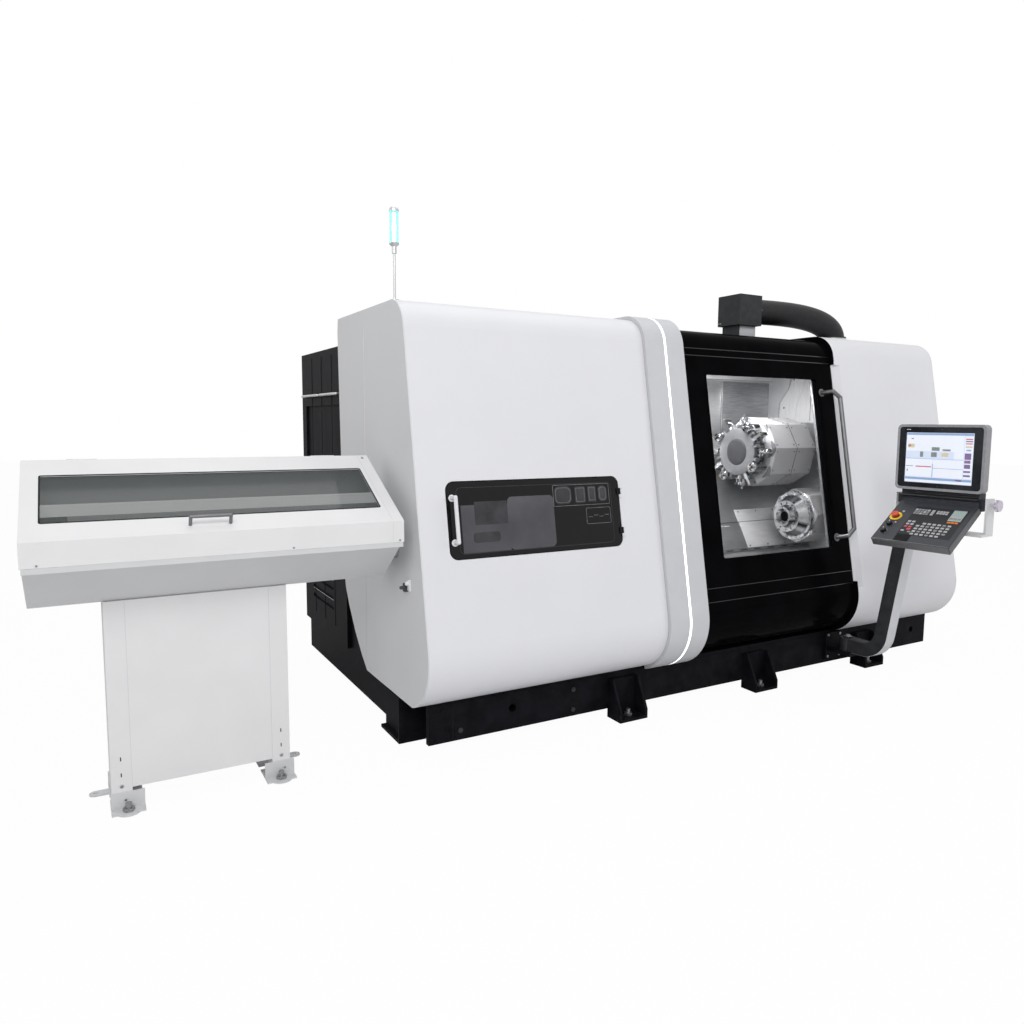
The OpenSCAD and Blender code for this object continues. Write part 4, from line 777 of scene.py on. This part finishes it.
# Tools: clamp screws and coolant jets on each holder, then by turns an insert, a collet nut or a boring bar's clamp
INSERT = shader("insert_gold", (0.46, 0.38, 0.26), 0.3, metal=0.9, grain=0.1, grain_scale=200, bump=0.03)
bm = bmesh.new()
for i in range(STATIONS):
    spin = spun(STEP * i)
    for y in (144, 162):
        for z in (-18, 18):
            add_turned(bm, screw_profile(5, 5), spin @ move(23, y, z) @ FACE_X, 14, 1)
    jet = rounded_path([(30, 172, 20), (30, 192, 20), (8, 206, 12)], 8, 4)
    add_tube(bm, [spin @ v for v in jet], 4, 10, 0)
    if i % 3 == 0:
        add_box(bm, -7, 3, 230, 238, -8, 4, 1, 2, 2, spin)
        add_box(bm, 2, 30, 176, 196, -17, -13, 1.4, 2, 0, spin)
        add_turned(bm, screw_profile(4, 4), spin @ move(14, 186, -17) @ spun(180), 14, 1)
    if i % 3 == 1:
        nut = spin @ move(57, 206, 0) @ spun(-90)
        nut_profile = [(20.2, 0), (28, 0), (29, 3), (29, 15), (28, 18), (20.5, 18)]
        add_turned(bm, nut_profile, nut @ move(0, 0, -8), 24, 0)
        for k in range(8):
            add_box(bm, -2, 2, 27.5, 29.8, -7, 9, 0.6, 1, 1, nut @ spun(45 * k, "Z"))
    if i % 3 == 2:
        clamp = [(24.2, 0), (30, 0), (31, 3), (31, 20), (29, 23), (24.2, 23)]
        add_turned(bm, clamp, spin @ move(-4, 178, 0) @ FACE_X, 24, 0)
        add_box(bm, -55, -50, 176, 186, -5, 5, 1, 2, 2, spin)
        for z, way in ((-26.66, 180), (26.66, 0)):
            add_turned(bm, screw_profile(5, 5), spin @ move(40, 178, z) @ spun(way), 14, 1)
piece("tool_details", bm, TURRET, [CHROME, BOLT, INSERT], "turret")

# Turret housing: eight-sided front flange in a darker grey than the housing paint (painted shade on its lit faces), a
# dark ring in it as painted shade on the housing's front face, seam and screws on the upper flats
HOUSING_R, SLEEVE_R = 222, 172           # to the corners of the eight-sided drums
FLAT = math.cos(math.radians(22.5))      # from a corner's radius to a flat's
bm = bmesh.new()
# the flange takes the darker satin grey, not the housing paint: painted shade on its lit faces
flange = [(202, 111.8), (202, 97), (206, 95), (214, 95), (219.5, 100), (222, 106), (222.4, 112.2), (219, 112.4)]
add_turned(bm, flange, TO_X @ spun(22.5, "Z"), 8, 0)
# dark ring on the housing's front face between the holders: painted shade
add_turned(bm, [(60, 111.9), (60, 110.4), (186, 110.4), (187, 111.9)], TO_X, 64, 3)
flat = HOUSING_R * FLAT
for k in (0, 1, 2, 7):
    add_box(bm, 300, 303, -84, 84, flat - 0.2, flat + 0.9, 0.3, 1, 1, spun(45 * k))
    for x in (130, 280, 324, 455):
        for y in (-62, 62):
            add_turned(bm, screw_profile(5, 3), spun(45 * k) @ move(x, y, flat), 14, 2)
piece("housing_details", bm, TURRET, [SATIN, SEAM, BOLT, DISC], "cross_slide", 18)

# Counter spindle: screws on the flange and the collet's face, collet slits; seal ring and screws on its sleeve
bm = bmesh.new()
for k in range(12):
    add_turned(bm, screw_profile(6, 5), spun(30 * k + 15) @ move(66, 141, 0) @ FACE_X, 16, 1)
for k in range(3):
    add_box(bm, -25, -18, 33, 62, -1, 1, 0.3, 1, 2, spun(120 * k + 30))
for k in range(6):
    add_turned(bm, screw_profile(6.6, 6), spun(60 * k + 30) @ move(16, 84, 0) @ FACE_X, 16, 1)
piece("collet_details", bm, COUNTER, [CHROME, BOLT, SEAM], "counter_rotor")
bm = bmesh.new()
add_turned(bm, [(121, 92), (150, 88), (157, 86), (160, 88), (160, 92)], TO_X, 64, 0)
flat = SLEEVE_R * FLAT
for k in range(8):
    for x in (112, 250):
        for y in (-46, 46):
            add_turned(bm, screw_profile(4.5, 2.5), spun(45 * k) @ move(x, y, flat), 14, 1)
piece("sleeve_details", bm, COUNTER, [STEEL, BOLT], "counter_slide")

# Work area: dark upper panel, light bar, covers on the right wall, sheets on the slanted wall
BRIGHT = shader("bright_sheet", (0.90, 0.90, 0.91), 0.42, metal=0.2, grain=0.06, grain_scale=10, stretch=(1, 12, 1),
                bump=0.03, bump_scale=250)
COVER = shader("cover_plate", (0.74, 0.745, 0.765), 0.36, metal=0.35, grain=0.05, grain_scale=9, bump=0.03,
               bump_scale=250)
WALL_Y = 958                             # behind the back wall's outer face
bm = bmesh.new()
add_box(bm, 2572, 3007, 947, WALL_Y, 1452, 1832, 2, 2, 0)
add_box(bm, 2560, 2566, 943, WALL_Y, 1452, 1832, 1.5, 2, 1)
add_box(bm, 2000, 2556, 949, WALL_Y, 1452, 1832, 2, 2, 1)
add_box(bm, 1652, 3007, 922, WALL_Y, 1836, 1890, 7, 3, 2)
add_box(bm, 1652, 3007, 916, 924, 1838, 1846, 2, 2, 1)
for x in (2596, 2790, 2984):
    for z in (1476, 1812):
        add_turned(bm, screw_profile(7, 4), move(x, 947, z) @ FACE_Y, 16, 3)
piece("upper_panel", bm, FIT, [LINER_DARK, LINER, BRIGHT, BOLT], "frame")

STRIP_X, COVER_X, PLATE_X = 3001, 3005, 3008      # outer faces of the three sheets on the right wall
EDGE = [(739, 1990), (742, 1859), (767, 1787), (840, 1692), (846, 1560)]      # the cover's bent edge: Y, Z
STRIP_FRONT = [(700, 1560), (690, 1692), (640, 1787), (610, 1990)]
bm = bmesh.new()
cover = EDGE + [(330, 1560), (330, 1990)]
strip = [(y - 18, z) for y, z in EDGE] + STRIP_FRONT
plate = [(y + 12, z) for y, z in EDGE] + [(950, 1560), (950, 1990)]
add_sheet(bm, [(COVER_X, y, z) for y, z in cover], (6, 0, 0), 0)
add_sheet(bm, [(STRIP_X, y, z) for y, z in strip], (4, 0, 0), 0)
add_sheet(bm, [(PLATE_X, y, z) for y, z in plate], (3, 0, 0), 1)
for y, z in ((800, 1660), (720, 1850)):
    add_turned(bm, screw_profile(7, 4), move(STRIP_X, y, z) @ FACE_X, 16, 2)
for y, z in ((540, 1850), (540, 1600), (380, 1850), (380, 1600)):
    add_turned(bm, screw_profile(7, 4), move(COVER_X, y, z) @ FACE_X, 16, 2)
for k in range(3):
    add_box(bm, 3003.6, 3006, 420 + 80 * k, 423 + 80 * k, 1570, 1980, 0.6, 1, 3)
piece("slanted_covers", bm, FIT, [BRIGHT, COVER, BOLT, SEAM], "frame")

WALL_Z = -247.2                          # under the slanted wall's outer face
bm = bmesh.new()
add_box(bm, 2455, 3004, 78, 162, WALL_Z, -243, 1.2, 2, 0)
add_box(bm, 2462, 3004, -104, 74.5, WALL_Z, -243, 1.2, 2, 0)
add_box(bm, 1660, 2450, 78, 240, WALL_Z, -244.5, 1, 2, 1)
add_box(bm, 1660, 2456, -104, 74.5, WALL_Z, -244.5, 1, 2, 1)
add_box(bm, 1660, 3004, 74.8, 77.7, WALL_Z, -245.4, 0, 1, 2)
add_box(bm, 1660, 3004, -128, -106, WALL_Z, -238, 2, 2, 3)
for x in (2262, 2318):
    add_box(bm, x, x + 44, 48, 56, -245, -239, 2, 2, 0)
for k in range(9):
    add_box(bm, 1900 + 120 * k, 1960 + 120 * k, -120, -114, -238.6, -237.2, 0.5, 1, 2)
for x in (2480, 2640, 2800, 2960):
    add_turned(bm, screw_profile(6, 3.5), move(x, -92, -243), 16, 4)
    add_turned(bm, screw_profile(6, 3.5), move(x, 146, -243), 16, 4)
piece("lower_sheets", bm, SLANT, [BRIGHT, LINER, SEAM, LINER_DARK, BOLT], "frame")

# Reveal strips of the door window
bm = bmesh.new()
add_box(bm, 2675.4, 2678.6, 58, 74, 338, 1348, 0.6, 2, 0)
add_box(bm, 1792, 2674, 60, 74, 332.2, 335, 0.6, 2, 0)
piece("window_reveal", bm, FRONT, [LINER_DARK], "door")

# Signal lamp: glowing core, silver cap and collar, rings on the lens
CORE = shader("lamp_core", (0.9, 1.0, 0.98), 0.4, grain=0.02, glow=2.4, glow_color=(0.95, 1.0, 0.99), bump=0.0)
LAMP_AT = move(36, 468, 2361)
core = [(0, 140), (7, 138), (9, 132), (9, 90), (12, 70), (9, 50), (9, 12), (7, 6), (0, 4)]
bm = bmesh.new()
add_turned(bm, core, LAMP_AT, 24, 0)
add_turned(bm, [(21.1, 140), (22.4, 140.5), (22.4, 150), (16.6, 159.6), (15.2, 159.8)], LAMP_AT, 40, 1)
add_turned(bm, [(11.2, -14), (21, -6), (22.4, -4), (22.4, 3), (21.1, 3.4)], LAMP_AT, 40, 1)
for k in range(5):
    h = 20 + 24 * k
    add_turned(bm, [(21.1, h), (21.6, h + 0.6), (21.6, h + 2), (21.1, h + 2.6)], LAMP_AT, 40, 2)
piece("lamp_fittings", bm, FIT, [CORE, ALU, LAMP], "frame")

# Air duct: flange with bolts on the box, screws, and a pale plate on the lit face of its neck: pale sheet metal,
# shown on that face only, so the lit face reads lighter than the shaded one as painted light
HOSE_R = 78
HOSE_END, HOSE_FOOT = 634.2, -165        # where the hose goes down into the roof, along X and Z of its run
HOSE_STEPS = 28
bm = bmesh.new()
add_turned(bm, [(84.3, 5), (92, 5), (93, 3), (93, 0)], move(*DUCT) @ TO_X, 56, 0)
for k in range(10):
    a = math.radians(36 * k + 18)
    bolt = (DUCT[0] + 5, DUCT[1] + 88 * math.sin(a), DUCT[2] + 88 * math.cos(a))
    add_turned(bm, hex_profile(5, 4.5), move(*bolt) @ TO_X, 6, 1)
for y in (762, 778):
    add_turned(bm, screw_profile(5, 3), move(2352, y, 2182) @ FACE_X, 14, 1)
# pale plate on the lit face of the neck only: partly the sheet's own pale colour, partly painted light
add_box(bm, 2392, 2528, 636.5, 640.5, 2102, 2163, 1, 2, 2)
piece("duct_fittings", bm, FIT, [HOSE, BOLT, BELT], "frame")

# Air hose: it sags in one long arc, so this piece stands for the plain bent solid; bands and bolts at its ends
ends = [Vector(p) for p in ((2, 0, 0), (300, 0, 0), (HOSE_END, 0, -10), (HOSE_END, 0, -163))]
arc = []
for i in range(HOSE_STEPS + 1):
    t = i / HOSE_STEPS
    weights = ((1 - t) ** 3, 3 * t * (1 - t) ** 2, 3 * t * t * (1 - t), t ** 3)
    arc.append(sum((p * w for p, w in zip(ends, weights)), Vector()))
bm = bmesh.new()
add_tube(bm, arc, HOSE_R, 48, 0)
add_turned(bm, [(HOSE_R, 34), (82.5, 34), (84, 32.5), (84, 0), (HOSE_R, 0)], TO_X, 56, 0)
foot = [(HOSE_R, 26), (86.5, 26), (88, 24.5), (88, 0), (HOSE_R, 0)]
add_turned(bm, foot, move(HOSE_END, 0, HOSE_FOOT), 56, 0)
hose = piece("duct_arch", bm, HOSE_RUN, [HOSE], "frame")
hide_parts("duct_hose")
bm = bmesh.new()
add_turned(bm, [(78.2, 0), (80.4, 0.6), (81, 3), (80.4, 5.4), (78.2, 6)], move(34.2, 0, 0) @ TO_X, 56, 0)
add_turned(bm, [(88.2, 6), (90, 6.6), (90, 16), (88.2, 16.6)], move(HOSE_END, 0, HOSE_FOOT), 56, 1)
add_turned(bm, [(88, 0), (104, 0), (105, 2), (104, 4), (88, 4)], move(HOSE_END, 0, HOSE_FOOT), 56, 0)
for k in range(8):
    a = math.radians(45 * k + 10)
    bolt = (HOSE_END + 97 * math.cos(a), 97 * math.sin(a), HOSE_FOOT + 4)
    add_turned(bm, hex_profile(4.5, 4), move(*bolt), 6, 2)
piece("hose_bands", bm, HOSE_RUN, [HOSE, ALU, BOLT], "frame")

# Bar loader: seal round the pane, folded seams and screws of the lid; seams, slots and screws of the pedestal
POST_Y = 330                             # front face of the pedestal
POST_EDGES = (-1182, -558)               # its folded edges, along X
bm = bmesh.new()
seal_out = round_rect(-1412, -139, -441, -115, 10)
seal_in = round_rect(-1406.5, -144.5, -435.5, -120.5, 5)
add_frame(bm, seal_out, seal_in, -0.9, 0.6, 0, 0.3)
add_box(bm, -120, -118.6, -0.5, 0.4, -540, -8, 0, 1, 1)
add_turned(bm, screw_profile(6, 2.6), move(-100, 0, -26) @ FACE_Y, 16, 2)
piece("lid_details", bm, LID_FACE, [SEAM, LOADER_PAINTED_SHADE, BOLT], "lid")
bm = bmesh.new()
add_box(bm, -120, -118.6, 96.5, 97.4, 1038, 1122, 0, 1, 1)
add_box(bm, -1470, -73, 95.6, 98, 1034.5, 1037, 0.8, 2, 0)
for x in (-1420, -540, -90):
    add_turned(bm, screw_profile(4, 2), move(x, 97, 1043) @ FACE_Y, 14, 2)
piece("lip_details", bm, FIT, [LOADER, LOADER_PAINTED_SHADE, BOLT], "lid")
bm = bmesh.new()
for x in (-1144, -596):
    add_box(bm, x - 0.9, x + 0.9, POST_Y - 0.7, POST_Y + 0.4, 90, 840, 0, 1, 0)
for x in POST_EDGES:
    for z in (142, 208):
        add_box(bm, x - 2, x + 2, POST_Y - 0.8, POST_Y + 0.4, z - 8, z + 8, 0.4, 1, 1)
for x in POST_EDGES:
    add_turned(bm, screw_profile(7, 4), move(x, POST_Y, 96) @ FACE_Y, 18, 2)
    add_turned(bm, screw_profile(5, 3), move(x + 12, POST_Y - 6, 40) @ FACE_Y, 16, 2)
piece("post_details", bm, FIT, [LOADER_PAINTED_SHADE, SEAM, BOLT], "frame")

# Base: seam of its end plate, holes, bolts and a ledge line along the front
BASE_Y = 215                             # front face of the base
bm = bmesh.new()
add_box(bm, 211, 213.4, BASE_Y - 1.2, BASE_Y + 0.4, 50, 248, 0.3, 1, 0)
for x, z in ((108, 166), (165, 196), (184, 107)):
    add_turned(bm, [(0, 1), (9, 1), (10, 3), (14, 3), (15, 1.6), (15, 0)], move(x, BASE_Y, z) @ FACE_Y, 24, 1)
for x, z in ((250, 93), (890, 186), (890, 80)):
    add_turned(bm, hex_profile(13, 9), move(x, BASE_Y, z) @ FACE_Y, 6, 2)
add_box(bm, 90, 3828, BASE_Y - 2.2, BASE_Y + 0.4, 226, 232, 1, 2, 1)
piece("base_details", bm, FIT, [SEAM, BASE, DARK], "frame")
